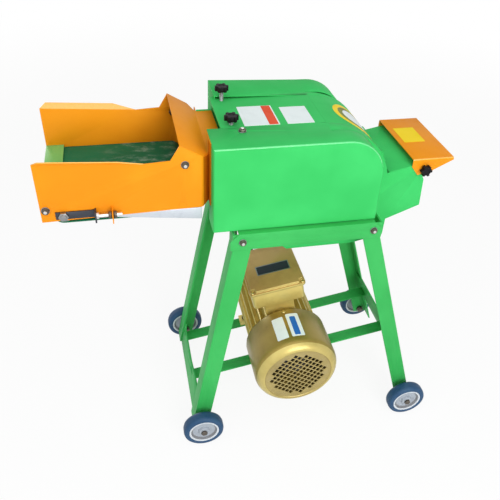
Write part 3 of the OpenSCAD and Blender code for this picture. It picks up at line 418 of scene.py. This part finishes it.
def cadCopy(node):  # a merged copy of a CAD node, with its flat faces whole again
    only(nodes[node])
    bpy.ops.object.duplicate()
    piece = bpy.context.active_object
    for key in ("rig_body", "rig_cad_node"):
        if key in piece:
            del piece[key]
    piece.name = node + "_skin"
    editMode()
    bpy.ops.mesh.select_all(action="SELECT")
    bpy.ops.mesh.remove_doubles(threshold=0.00002)
    bpy.ops.mesh.dissolve_limited(angle_limit=math.radians(0.6))
    objectMode()
    return piece


def easeEdges(piece, width, steps=2, angle=40):
    only(piece)
    ease = piece.modifiers.new("ease", "BEVEL")
    ease.width = width
    ease.segments = steps
    ease.limit_method = "ANGLE"
    ease.angle_limit = math.radians(angle)
    ease.use_clamp_overlap = True
    bpy.ops.object.modifier_apply(modifier="ease")


def smooth(piece, angle=38):
    only(piece)
    bpy.ops.object.shade_smooth_by_angle(angle=math.radians(angle))


def dress(node, look, width=0.0006, steps=2, bends=()):  # a CAD copy with eased edges and, at will, round bends
    piece = cadCopy(node)
    for radius, test in bends:
        only(piece)
        pickEdges(piece, test)
        bpy.ops.mesh.bevel(offset=radius, segments=4, affect="EDGES", clamp_overlap=True)
        objectMode()
    easeEdges(piece, width, steps)
    smooth(piece)
    paint(piece, look)
    return settle(piece, bodyOf[node], slotOf[node], node)


def lathe(name, profile, steps, closed=True):  # spins (radius, height) points in mm round the Z axis
    points = [Vector((r / 1000, 0, h / 1000)) for r, h in profile]
    bpy.ops.object.select_all(action="DESELECT")
    bpy.ops.mesh.primitive_plane_add(size=0.002, location=points[0])
    piece = bpy.context.active_object
    piece.name = name
    bpy.ops.object.transform_apply(location=True, rotation=True, scale=True)
    editMode()
    bpy.ops.mesh.select_all(action="SELECT")
    bpy.ops.mesh.merge(type="CENTER")
    for a, b in zip(points, points[1:] + (points[:1] if closed else [])):
        bpy.ops.mesh.extrude_region_move(TRANSFORM_OT_translate={"value": b - a})
    bpy.ops.mesh.select_all(action="SELECT")
    bpy.ops.mesh.spin(steps=steps, angle=2 * math.pi, center=(0, 0, 0), axis=(0, 0, 1))
    bpy.ops.mesh.select_all(action="SELECT")
    bpy.ops.mesh.remove_doubles(threshold=0.00001)
    bpy.ops.mesh.normals_make_consistent(inside=False)
    objectMode()
    return piece


def copyOf(piece, name):
    only(piece)
    bpy.ops.object.duplicate()
    made = bpy.context.active_object
    made.name = name
    return made


def put(piece, place, turn=(0, 0, 0)):  # turn in degrees; the place goes into the mesh
    piece.location = place
    piece.rotation_euler = [math.radians(v) for v in turn]
    only(piece)
    bpy.ops.object.transform_apply(location=True, rotation=True, scale=True)
    return piece


def join(*objs):
    only(*objs)
    bpy.ops.object.join()
    return bpy.context.active_object


def discard(*objs):
    only(*objs)
    bpy.ops.object.delete()


def card(name, wide, long, thick, corner, cuts=1):  # a thin plate with round corners, on z = 0
    bpy.ops.object.select_all(action="DESELECT")
    bpy.ops.mesh.primitive_plane_add(size=1, location=(0, 0, 0))
    piece = bpy.context.active_object
    piece.name = name
    piece.scale = (wide, long, 1)
    bpy.ops.object.transform_apply(location=True, rotation=True, scale=True)
    editMode()
    bpy.ops.mesh.select_all(action="SELECT")
    bpy.ops.mesh.bevel(offset=corner, segments=4, affect="VERTICES")
    bpy.ops.mesh.select_all(action="SELECT")
    bpy.ops.mesh.extrude_region_move(TRANSFORM_OT_translate={"value": (0, 0, thick)})
    bpy.ops.mesh.select_all(action="SELECT")
    bpy.ops.mesh.normals_make_consistent(inside=False)
    for step in range(1, cuts):  # cut across, so that the label can follow a round face
        bpy.ops.mesh.select_all(action="SELECT")
        bpy.ops.mesh.bisect(plane_co=(wide * (step / cuts - 0.5), 0, 0), plane_no=(1, 0, 0))
    objectMode()
    return piece


def wrapRound(piece, radius):  # lays a flat card on a cylinder along Y, at the top of it
    for v in piece.data.vertices:
        lean = v.co.x / radius
        high = radius + v.co.z
        v.co.x = high * math.sin(lean)
        v.co.z = high * math.cos(lean)
    return piece


# plain materials on every CAD node first

looks = {"green_paint": green, "orange_paint": orange, "pale_green_paint": paleGreen, "zinc": zinc, "steel": steel,
         "dark_iron": iron, "black_plastic": black, "belt_green": belt, "black_rubber": rubber,
         "gold_paint": gold, "tyre": tyre, "hub": hubWhite}
for nodeName, nodeObject in nodes.items():
    paint(nodeObject, looks[slotOf[nodeName]])
paint(nodes["belt_pan"], galvanised)


# stand and casing, with eased edges

standSetup = {"ease": 0.0009, "stand": (
    "front_rail", "rear_rail", "left_cross_rail", "front_left_leg", "front_right_leg", "rear_left_leg",
    "rear_right_leg", "left_end_plate", "right_end_plate", "motor_rails"),
    "casing": ("near_side_plate", "far_side_plate", "drum_pan", "chute_roof", "cover_bar")}
for nodeName in standSetup["stand"]:
    dress(nodeName, standGreen, standSetup["ease"])
for nodeName in standSetup["casing"]:
    dress(nodeName, green, standSetup["ease"])
print("stand and casing dressed")


def inPlane(axis, at, reach=0.0002):  # picks the edges that lie in one plane
    return lambda a, b: abs(a[axis] - at) < reach and abs(b[axis] - at) < reach


def onBend(slope):  # faces that are neither flat sheet nor square edge
    return 0.2 < abs(slope) < 0.97


coverSetup = {"frontY": -0.116, "backY": 0.204, "bend": 0.004, "ease": 0.0005}


def bentCover(node, atY, c):  # the round bends that face up get a painted highlight, a lighter and glossier green than the flat sheet
    piece = dress(node, green, c["ease"], bends=[(c["bend"], inPlane(1, atY))])
    touchUp(piece, bendHighlightGreen, lambda at, n: abs(at.y - atY) < c["bend"] and onBend(n.y) and n.z > 0.2)


bentCover("gear_cover", coverSetup["frontY"], coverSetup)
bentCover("belt_cover", coverSetup["backY"], coverSetup)
topCover = dress("top_cover", green, coverSetup["ease"])
only(topCover)
topCover.modifiers.new("even", "WEIGHTED_NORMAL").keep_sharp = True  # no seam where the flat meets the bow
bpy.ops.object.modifier_apply(modifier="even")
print("covers dressed")

flapSetup = {"top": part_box("deflector_flap")[1][2], "bend": 0.0028, "ease": 0.0005}


def dressFlap(f):
    flat = inPlane(2, f["top"])
    flap = dress("deflector_flap", orange, f["ease"], bends=[
        (f["bend"], lambda a, b: flat(a, b) and abs(a.y - b.y) < 0.0002)])  # the edges along X
    # painted highlight on the flap's upper bends
    touchUp(flap, bendHighlightOrange, lambda at, n: at.z > f["top"] - f["bend"] and onBend(n.y))


dressFlap(flapSetup)

traySetup = {"bendX": -0.254 + frameX, "bend": 0.004, "sheet": 0.0022, "upright": 0.05,
             "lipEnd": -0.35 + frameX, "lipLow": 0.73, "panEase": 0.0005}


def dressTrayWall(node, t):
    corner = inPlane(0, t["bendX"], t["sheet"])
    wall = dress(node, orange, bends=[(t["bend"], lambda a, b: corner(a, b) and abs(a.z - b.z) > t["upright"])])
    # painted highlight on the upward faces of the walls' lips
    touchUp(wall, bendHighlightOrange, lambda at, n: at.x < t["lipEnd"] and at.z > t["lipLow"] and n.z > 0.08)
    touchUp(wall, shadeOrange, lambda at, n: at.x > t["bendX"] + t["bend"] and abs(n.z) < 0.3)  # painted shade: a darker orange on the flange past the bend, in the corner


for nodeName in ("near_tray_wall", "far_tray_wall"):
    dressTrayWall(nodeName, traySetup)
dress("hood", orange)
dress("throat_floor", orange)
dress("tail_plate", paleGreen)
dress("belt_pan", galvanised, traySetup["panEase"])

yokeSetup = {"axle": -0.526 + frameX, "nut": 0.0115, "plates": (-0.0919, 0.1599), "screw": -0.4638 + frameX,
             "ease": 0.0005}


def dressYoke(y):  # dark straps, plated nuts and draw screws
    piece = dress("takeup_yoke", iron, y["ease"])
    low, high = y["plates"]
    touchUp(piece, zinc, lambda at, n: abs(at.x - y["axle"]) < y["nut"] and not low <= at.y <= high)
    touchUp(piece, bright, lambda at, n: at.x > y["screw"])


dressYoke(yokeSetup)
dress("conveyor_belt", belt)
print("tray dressed")

driveSetup = {"ease": 0.0004, "bolts": ("hex_bolts", "axle_bolts"), "painted": -0.0855, "inside": (
    "shear_bar", "knives", "rotor", "v_belt", "shaft_bearings", "float_blocks", "tail_roller")}
for nodeName in driveSetup["bolts"]:
    dress(nodeName, boltIron, driveSetup["ease"], 1)
for nodeName in driveSetup["inside"]:
    dress(nodeName, looks[slotOf[nodeName]], driveSetup["ease"], 1)
driveRoller = dress("drive_roller", steel, driveSetup["ease"], 1)
touchUp(driveRoller, orange, lambda at, n: n.y < -0.3 and at.y < driveSetup["painted"])  # the shaft's end
print("bolts and drive dressed")

pulleySetup = {
    "rotor_pulley": [
        (15.02, 0.4), (15.4, 0), (29, 0), (30, 1), (31, 4.4), (32.4, 5.4), (61, 5.4), (62.6, 4.4), (64, 1), (65, 0),
        (83.4, 0), (84, 0.6), (84, 1.8), (83.6, 2.1), (71, 6.2), (71, 11.8), (83.6, 15.9), (84, 16.2), (84, 17.4),
        (83.4, 18), (65, 18), (64, 17), (62.6, 13.6), (61, 12.6), (32.4, 12.6), (31, 13.6), (30, 17), (29, 18),
        (15.4, 18), (15.02, 17.6)],
    "motor_pulley": [
        (14.02, 0.4), (14.4, 0), (22, 0), (23, 0.8), (24, 1.8), (37, 1.8), (38, 0.8), (39, 0), (43.4, 0), (44, 0.6),
        (44, 1.8), (43.6, 2.1), (31, 6.2), (31, 11.8), (43.6, 15.9), (44, 16.2), (44, 17.4), (43.4, 18), (39, 18),
        (38, 17.2), (37, 16.2), (24, 16.2), (23, 17.2), (22, 18), (14.4, 18), (14.02, 17.6)]}


def makePulleys(setup):  # turned wheels with a dished web, which the plain solids lack
    for node, profile in setup.items():
        low, high = (Vector(v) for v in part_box(node))
        middle = (low + high) / 2
        wheel = put(lathe(node + "_skin", profile, 96), (middle.x, low.y, middle.z), (-90, 0, 0))
        smooth(wheel, 30)
        paint(wheel, iron)
        settle(wheel, bodyOf[node], slotOf[node], node)


makePulleys(pulleySetup)
print("pulleys turned")


# roller chain of the conveyor, one pattern of each link copied round the loop

chainSetup = {"drive": (-0.295, 0.651), "driven": (-0.160, 0.642), "radius": 0.022, "y": 0.1635, "pitch": 0.0127,
              "plate": {"high": 0.0066, "thick": 0.0008, "round": 0.46}, "inner": 0.0012, "outer": 0.0021,
              "roller": 0.0021, "pinPast": 0.0012}


def chainPath(c):  # points at equal steps round the loop
    a, b = Vector((c["drive"][0] + frameX, c["drive"][1])), Vector((c["driven"][0] + frameX, c["driven"][1]))
    along = (b - a).normalized()
    up = Vector((-along.y, along.x))
    run, bow = (b - a).length, math.pi * c["radius"]
    count = 2 * round((run + bow) / c["pitch"])
    points = []
    for i in range(count):
        d = (2 * run + 2 * bow) * i / count
        if d < run:
            p = a + along * d + up * c["radius"]
        elif d < run + bow:
            turn = (d - run) / c["radius"]
            p = b + up * c["radius"] * math.cos(turn) + along * c["radius"] * math.sin(turn)
        elif d < 2 * run + bow:
            p = b - along * (d - run - bow) - up * c["radius"]
        else:
            turn = (d - 2 * run - bow) / c["radius"]
            p = a - up * c["radius"] * math.cos(turn) - along * c["radius"] * math.sin(turn)
        points.append(p)
    return points


def chainLink(c, offset, name):  # two stadium plates, one roller between them
    made = []
    long = c["pitch"] + c["plate"]["high"]
    for side in (-1, 1):
        piece = card(name, long, c["plate"]["high"], c["plate"]["thick"], c["plate"]["high"] * c["plate"]["round"])
        made.append(put(piece, (0, side * offset + c["plate"]["thick"] / 2, 0), (90, 0, 0)))
    bpy.ops.object.select_all(action="DESELECT")
    bpy.ops.mesh.primitive_cylinder_add(vertices=16, radius=c["roller"], depth=2 * c["outer"] + c["pinPast"],
                                        location=(c["pitch"] / 2, 0, 0), rotation=(math.pi / 2, 0, 0))
    pin = bpy.context.active_object
    bpy.ops.object.transform_apply(location=True, rotation=True, scale=True)
    return join(*made, pin)


def makeChain(c):
    patterns = [chainLink(c, c["inner"], "innerLink"), chainLink(c, c["outer"], "outerLink")]
    points = chainPath(c)
    made = []
    for i, p in enumerate(points):
        q = points[(i + 1) % len(points)]
        middle = (p + q) / 2
        lean = math.degrees(math.atan2(q.y - p.y, q.x - p.x))
        made.append(put(copyOf(patterns[i % 2], "chainLink"), (middle.x, c["y"], middle.y), (0, -lean, 0)))
    discard(*patterns)
    chain = join(*made)
    chain.name = "feed_chain_skin"
    smooth(chain, 30)
    paint(chain, chainSteel)
    settle(chain, bodyOf["feed_chain"], slotOf["feed_chain"], "feed_chain")


# wheels

wheelSetup = {
    "tyre": [(37, -13), (38.2, -14), (43.4, -14), (45.6, -13.5), (47.2, -12.6), (48.2, -11.6), (49.5, -8),
             (49.9, -6.6), (50, -5), (50, 5), (49.9, 6.6), (49.5, 8), (48.2, 11.6), (47.2, 12.6), (45.6, 13.5),
             (43.4, 14), (38.2, 14), (37, 13)],
    "hub": [(6.1, -14), (11, -14), (12.4, -13.4), (13.2, -12), (14.4, -8), (16.5, -6.8), (28, -6.8), (30.4, -7.6),
            (32.2, -12), (33.4, -13), (36.95, -13), (36.95, 13), (33.4, 13), (32.2, 12), (30.4, 7.6), (28, 6.8),
            (16.5, 6.8), (14.4, 8), (13.2, 12), (12.4, 13.4), (11, 14), (6.1, 14)],
    "rim": (0.0323, 0.04), "groove": (0.0284, 0.0323)}  # radii of the hub's edge with a painted highlight and of its corner with painted shade


def makeWheels(s):
    tread = lathe("treadPattern", s["tyre"], 96)
    disc = lathe("hubPattern", s["hub"], 96)
    for corner in ("front_left", "front_right", "rear_left", "rear_right"):
        low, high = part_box(corner + "_tyre")
        middle = (Vector(low) + Vector(high)) / 2
        made = {}
        for pattern, kind, look in ((tread, "tyre", tyre), (disc, "hub", hubWhite)):
            node = corner + "_" + kind
            piece = put(copyOf(pattern, node + "_skin"), middle, (90, 0, 0))
            smooth(piece, 30)
            paint(piece, look)
            made[kind] = settle(piece, bodyOf[node], slotOf[node], node)
        # painted highlight on the hub's edge, painted shade in the groove's corner
        for look, (inner, outer) in ((hubEdgeHighlight, s["rim"]), (hubCornerShade, s["groove"])):
            touchUp(made["hub"], look, lambda at, n: inner < math.hypot(at.x - middle.x, at.z - middle.z) < outer)
    discard(tread, disc)


makeWheels(wheelSetup)
print("wheels turned")

# bolts, with plain and spring washers round the heads that show

boltSetup = {
    "washer": [(4.1, 0), (8.0, 0), (8.2, 0.3), (8.2, 1.1), (7.9, 1.4), (4.1, 1.4)],
    "spring": [(4.1, 1.4), (7.0, 1.4), (7.2, 1.7), (7.2, 2.9), (6.9, 3.2), (4.1, 3.2)],
    "tip": [(0, 5.0), (2.2, 5.0), (2.4, 5.1), (3.4, 7.4), (3.2, 7.8), (0, 8.1)],
    "front": [(-0.177, -0.128, 0.574), (0.113, -0.128, 0.574), (-0.288, -0.088, 0.744), (-0.558, -0.088, 0.664)],
    "back": [(-0.177, 0.177, 0.574), (0.113, 0.177, 0.574), (-0.288, 0.156, 0.744), (-0.558, 0.156, 0.664)],
    "top": [(-0.169, -0.046, coverTop)]}


def makeBoltTrim(s):
    ring = lathe("washerPattern", s["washer"], 32)
    coil = lathe("springPattern", s["spring"], 32)
    nose = lathe("tipPattern", s["tip"], 24, closed=False)
    for piece, look in ((ring, zinc), (coil, boltIron), (nose, bright)):
        paint(piece, look)
    pattern = join(coil, nose, ring)
    made = []
    for side, turn in (("front", (90, 0, 0)), ("back", (-90, 0, 0)), ("top", (0, 0, 0))):
        for x, y, z in s[side]:
            made.append(put(copyOf(pattern, "boltTrim"), (x + frameX, y, z), turn))
    discard(pattern)
    trim = join(*made)
    trim.name = "bolt_washers"
    smooth(trim, 30)
    settle(trim, bodyOf["hex_bolts"], slotOf["hex_bolts"])


makeBoltTrim(boltSetup)
print("washers added")


# star knobs on threaded studs

knobSetup = {
    "head": {"radius": 0.0112, "grips": 6, "lobe": 0.0036, "high": 0.0112, "round": 0.0016,
             "dish": 0.0045, "dishDeep": 0.0012, "dishStep": 0.0008},
    "thread": {"radius": 4.0, "root": 3.5, "pitch": 1.25, "start": 0.6},
    "places": {
        "cover_knob_near": {"at": (-0.185, -0.012, coverTop), "turn": 0, "stem": 9, "stud": 9, "size": 1.0},
        "cover_knob_far": {"at": (-0.185, 0.104, coverTop), "turn": 0, "stem": 22, "stud": 9, "size": 1.0},
        "flap_knob_near": {"at": (0.23599, -0.0653, 0.68105), "turn": 90, "stem": 4, "stud": 11, "size": 0.86},
        "flap_knob_far": {"at": (0.23599, 0.1333, 0.68105), "turn": -90, "stem": 4, "stud": 11, "size": 0.86}}}


def knobHead(s):
    bpy.ops.object.select_all(action="DESELECT")
    bpy.ops.mesh.primitive_cylinder_add(vertices=24, radius=s["radius"], depth=s["high"],
                                        location=(0, 0, s["high"] / 2))
    head = bpy.context.active_object
    bpy.ops.object.transform_apply(location=True, rotation=True, scale=True)
    pickFaces(head, lambda c, n: abs(n.z) < 0.5 and math.cos(s["grips"] * math.atan2(c.y, c.x)) > 0.2)
    bpy.ops.mesh.extrude_region_shrink_fatten(TRANSFORM_OT_shrink_fatten={"value": s["lobe"]})
    objectMode()
    pickFaces(head, lambda c, n: n.z > 0.9 and math.hypot(c.x, c.y) < 0.001)
    bpy.ops.mesh.inset(thickness=s["dish"])
    bpy.ops.mesh.extrude_region_move(TRANSFORM_OT_translate={"value": (0, 0, -s["dishDeep"])})
    bpy.ops.mesh.inset(thickness=s["dishStep"])
    objectMode()
    easeEdges(head, s["round"], 3, 25)
    smooth(head, 50)
    return head


def threadedStud(name, low, high, t):
    points = [(0, low), (t["root"], low)]
    h = low + t["start"]
    while h + t["pitch"] < high:
        points += [(t["radius"], h + t["pitch"] * 0.3), (t["radius"], h + t["pitch"] * 0.5)]
        h += t["pitch"]
        points.append((t["root"], h))
    return lathe(name, points + [(t["root"], high), (0, high)], 24, closed=False)


def makeKnobs(s):
    pattern = knobHead(s["head"])
    for node, k in s["places"].items():
        place = (k["at"][0] + frameX, k["at"][1], k["at"][2])
        head = copyOf(pattern, node + "_head")
        head.scale = (k["size"],) * 3
        put(head, (0, 0, k["stem"] / 1000))
        put(head, place, (k["turn"], 0, 0))
        paint(head, black)
        settle(head, bodyOf[node], slotOf[node], node)
        stud = threadedStud(node + "_stud", -k["stud"], k["stem"] + 1, s["thread"])
        put(stud, place, (k["turn"], 0, 0))
        smooth(stud, 30)
        paint(stud, zinc)
        settle(stud, bodyOf[node], "zinc", node)
    discard(pattern)


makeKnobs(knobSetup)
print("knobs made")


# motor

motorSetup = {"place": (-0.044 + frameX, 0, 0.218), "turn": (0, -10.5, 0), "radius": 0.102, "lidTop": 0.178,
              "lidStep": 0.172, "lidScrews": [(x, y) for y in (-0.0735, 0.0755) for x in (-0.0615, 0.0615)],
              "coverScrew": {"angle": 88, "y": -0.0885},
              "shield": {"angles": (35, 145, 215, 325), "radius": 0.080, "y": 0.143},
              "ease": 0.0008, "lidEase": 0.0016}
dress("motor_body", gold, motorSetup["ease"])

# worn is how far back from the cover's end the lighter panel and the painted highlight on the rim reach
fanSetup = {"end": -0.205, "panel": 0.0795, "wider": -0.0010, "ease": 0.0004, "worn": 0.013,
            "panelRing": (0, 0.0805), "rimRing": (0.083, 0.0985), "shell": [
    (79, 2), (80, 1.2), (81, 0.2), (82, 0), (84.5, 0.3), (87.5, 1.4), (90.5, 3.2), (93.5, 5.8), (96.2, 9), (98.5, 13),
    (100.2, 17), (101.4, 21.5), (102, 27), (102, 122.6), (101.6, 123.6), (101, 124), (99.6, 124), (99, 123.4),
    (99, 27), (97, 18), (94, 12), (90, 7), (85, 4), (80, 5), (79, 5)]}


def makeFanCover(f, s):
    shell = put(lathe("fanShell", f["shell"], 128), (0, f["end"], 0), (-90, 0, 0))
    put(shell, s["place"], s["turn"])
    grid = cadCopy("fan_cover")
    axis = Vector((s["place"][0], 0, s["place"][2]))

    def fromAxis(at):
        return (Vector((at.x, 0, at.z)) - axis).length

    pickFaces(grid, lambda c, n: fromAxis(c) > f["panel"])
    bpy.ops.mesh.delete(type="FACE")
    objectMode()
    pickFaces(grid, lambda c, n: abs(n.y) < 0.3)
    bpy.ops.transform.shrink_fatten(value=f["wider"], use_even_offset=True)  # the holes' walls step back
    objectMode()
    easeEdges(grid, f["ease"], 1, 60)
    cover = join(grid, shell)
    cover.name = "fan_cover_skin"
    smooth(cover, 42)
    # the fan cover's shell in the darker gold, painted shade
    paint(cover, shellShadeGold)
    for look, (inner, outer) in ((panelGold, f["panelRing"]), (rimHighlightGold, f["rimRing"])):  # the grid panel in a lighter gold, and a painted highlight on the shoulder ring
        touchUp(cover, look, lambda at, n: at.y < f["end"] + f["worn"] and inner <= fromAxis(at) < outer)
    settle(cover, bodyOf["fan_cover"], slotOf["fan_cover"], "fan_cover")


makeFanCover(fanSetup, motorSetup)
lid = dress("terminal_lid", lidGold, motorSetup["lidEase"], 3)
# painted highlight on the lid's sides and bead
touchUp(lid, rimHighlightGold, lambda at, n: n.z < 0.9)

screwSetup = {
    "panHead": [(0, 0), (4.6, 0), (4.7, 0.6), (4.4, 1.8), (3.4, 2.7), (1.9, 3.1), (0, 3.2)], "recess": 0.0009,
    "boss": [(0, 0), (9, 0), (9, 7), (8.4, 7.8), (0, 8)],
    "hexHead": {"radius": 0.0056, "high": 0.0044, "middle": 0.0102}}


def roundMotor(radius, y, angle):  # a place round the motor's axis
    lean = math.radians(angle)
    return radius * math.cos(lean), y, radius * math.sin(lean)


def makeMotorScrews(k, s):
    pattern = lathe("screwPattern", k["panHead"], 24, closed=False)
    pickFaces(pattern, lambda c, n: n.z > 0.97 and c.z > 0.003)
    bpy.ops.mesh.extrude_region_move(TRANSFORM_OT_translate={"value": (0, 0, -k["recess"])})
    objectMode()
    made = [put(copyOf(pattern, "lidScrew"), (x, y, s["lidStep"])) for x, y in s["lidScrews"]]
    c = s["coverScrew"]
    rim = roundMotor(s["radius"], c["y"], c["angle"])
    made.append(put(copyOf(pattern, "coverScrew"), rim, (0, 90 - c["angle"], 0)))
    discard(pattern)
    boss = lathe("bossPattern", k["boss"], 32, closed=False)
    c = s["shield"]
    for angle in c["angles"]:  # bosses and bolts of the drive end shield
        place = roundMotor(c["radius"], c["y"], angle)
        head = copyOf(boss, "shieldBoss")
        bpy.ops.object.select_all(action="DESELECT")
        bpy.ops.mesh.primitive_cylinder_add(vertices=6, radius=k["hexHead"]["radius"], depth=k["hexHead"]["high"],
                                            location=(0, 0, k["hexHead"]["middle"]))
        made.append(put(join(bpy.context.active_object, head), place, (-90, 0, 0)))
    discard(boss)
    screws = put(join(*made), s["place"], s["turn"])
    screws.name = "motor_screws"
    smooth(screws, 35)
    paint(screws, brass)
    settle(screws, bodyOf["motor_body"], "zinc")


makeMotorScrews(screwSetup, motorSetup)


# blank labels

stickerSetup = {"thick": 0.0003, "gap": 0.0001, "corner": 0.0012, "motorCorner": 0.0026}
papers = {"white": whitePaper, "blue": bluePaper, "orange": orangePaper, "yellow": yellowPaper, "olive": olivePaper}
motorLabels = {
    "motor_label_left": {"angle": 100, "wide": 0.028, "y": (-0.172, -0.103), "look": "white"},
    "motor_label_right": {"angle": 79, "wide": 0.031, "y": (-0.172, -0.098), "look": "white"},
    "motor_label_band": {"angle": 79.5, "wide": 0.014, "y": (-0.168, -0.108), "look": "blue", "lift": 0.0003}}


def makeMotorLabels(labels, s, p):
    for name, k in labels.items():
        y0, y1 = k["y"]
        reach = s["radius"] + p["gap"] + k.get("lift", 0)
        piece = wrapRound(card(name, k["wide"], y1 - y0, p["thick"], p["motorCorner"], 12), reach)
        put(piece, (0, (y0 + y1) / 2, 0), (0, 90 - k["angle"], 0))
        put(piece, s["place"], s["turn"])
        smooth(piece, 30)
        paint(piece, papers[k["look"]])
        settle(piece, bodyOf["fan_cover"], slotOf["fan_cover"])


makeMotorLabels(motorLabels, motorSetup, stickerSetup)

plateSetup = {"middle": (0.0045, -0.0085), "wide": 0.083, "long": 0.033, "thick": 0.0008, "corner": 0.0015,
              "rim": 0.0022, "recess": 0.0003, "gap": 0.0001}


def makeNamePlate(p, s):
    plate = card("name_plate", p["wide"], p["long"], p["thick"], p["corner"])
    pickFaces(plate, lambda c, n: n.z > 0.9)
    bpy.ops.mesh.inset(thickness=p["rim"])
    bpy.ops.mesh.extrude_region_move(TRANSFORM_OT_translate={"value": (0, 0, -p["recess"])})
    objectMode()
    paint(plate, zinc)
    touchUp(plate, darkPlate, lambda at, n: n.z > 0.9 and abs(at.x) < 0.001 and abs(at.y) < 0.001)  # the field
    put(plate, (p["middle"][0], p["middle"][1], s["lidTop"] + p["gap"]))
    put(plate, s["place"], s["turn"])
    settle(plate, bodyOf["terminal_lid"], slotOf["terminal_lid"])


makeNamePlate(plateSetup, motorSetup)
print("motor trimmed")

coverLabels = {
    "cover_label_left": {"x": (-0.160, -0.086), "y": (-0.025, 0.066), "look": "white"},
    "cover_label_band": {"x": (-0.108, -0.089), "y": (-0.0235, 0.0645), "look": "orange", "lift": 0.0004},
    "cover_label_right": {"x": (-0.070, -0.013), "y": (-0.025, 0.055), "look": "white"}}


def makeCoverLabels(labels, p):
    for name, k in labels.items():
        (x0, x1), (y0, y1) = k["x"], k["y"]
        piece = card(name, x1 - x0, y1 - y0, p["thick"], p["corner"])
        put(piece, ((x0 + x1) / 2 + frameX, (y0 + y1) / 2, coverTop + p["gap"] + k.get("lift", 0)))
        paint(piece, papers[k["look"]])
        settle(piece, "top_cover", slotOf["top_cover"])


makeCoverLabels(coverLabels, stickerSetup)

decalSetup = {"axis": (0.010 + frameX, 0.637), "angle": 53, "y": 0.035, "radius": 0.149, "lift": 0.0003,
              "thick": 0.0002, "steps": 5,
              "rings": (("cover_decal_rim", 0.046, 0.058, "yellow"), ("cover_decal_ring", 0.034, 0.046, "olive"),
                        ("cover_decal_middle", 0.0, 0.034, "white"))}


def makeDecal(d):
    for name, inner, outer, look in d["rings"]:
        widths = [inner + (outer - inner) * i / d["steps"] for i in range(d["steps"] + 1)]
        piece = lathe(name, [(w * 1000, 0) for w in widths], 72, closed=False)
        wrapRound(piece, d["radius"] + d["lift"])
        put(piece, (0, d["y"], 0), (0, 90 - d["angle"], 0))
        put(piece, (d["axis"][0], 0, d["axis"][1]))
        only(piece)
        wall = piece.modifiers.new("wall", "SOLIDIFY")
        wall.thickness = d["thick"]
        wall.offset = 1
        bpy.ops.object.modifier_apply(modifier="wall")
        smooth(piece, 30)
        paint(piece, papers[look])
        settle(piece, "top_cover", slotOf["top_cover"])


makeDecal(decalSetup)

flapLabel = {"middle": (0.244, 0.048), "wide": 0.050, "long": 0.070}


def makeFlapLabel(k, top, p):
    piece = card("flap_label", k["wide"], k["long"], p["thick"], p["corner"])
    put(piece, (k["middle"][0] + frameX, k["middle"][1], top + p["gap"]))
    paint(piece, yellowPaper)
    settle(piece, "deflector_flap", slotOf["deflector_flap"])


makeFlapLabel(flapLabel, flapSetup["top"], stickerSetup)
print("blank labels laid")
makeChain(chainSetup)
print("chain linked")
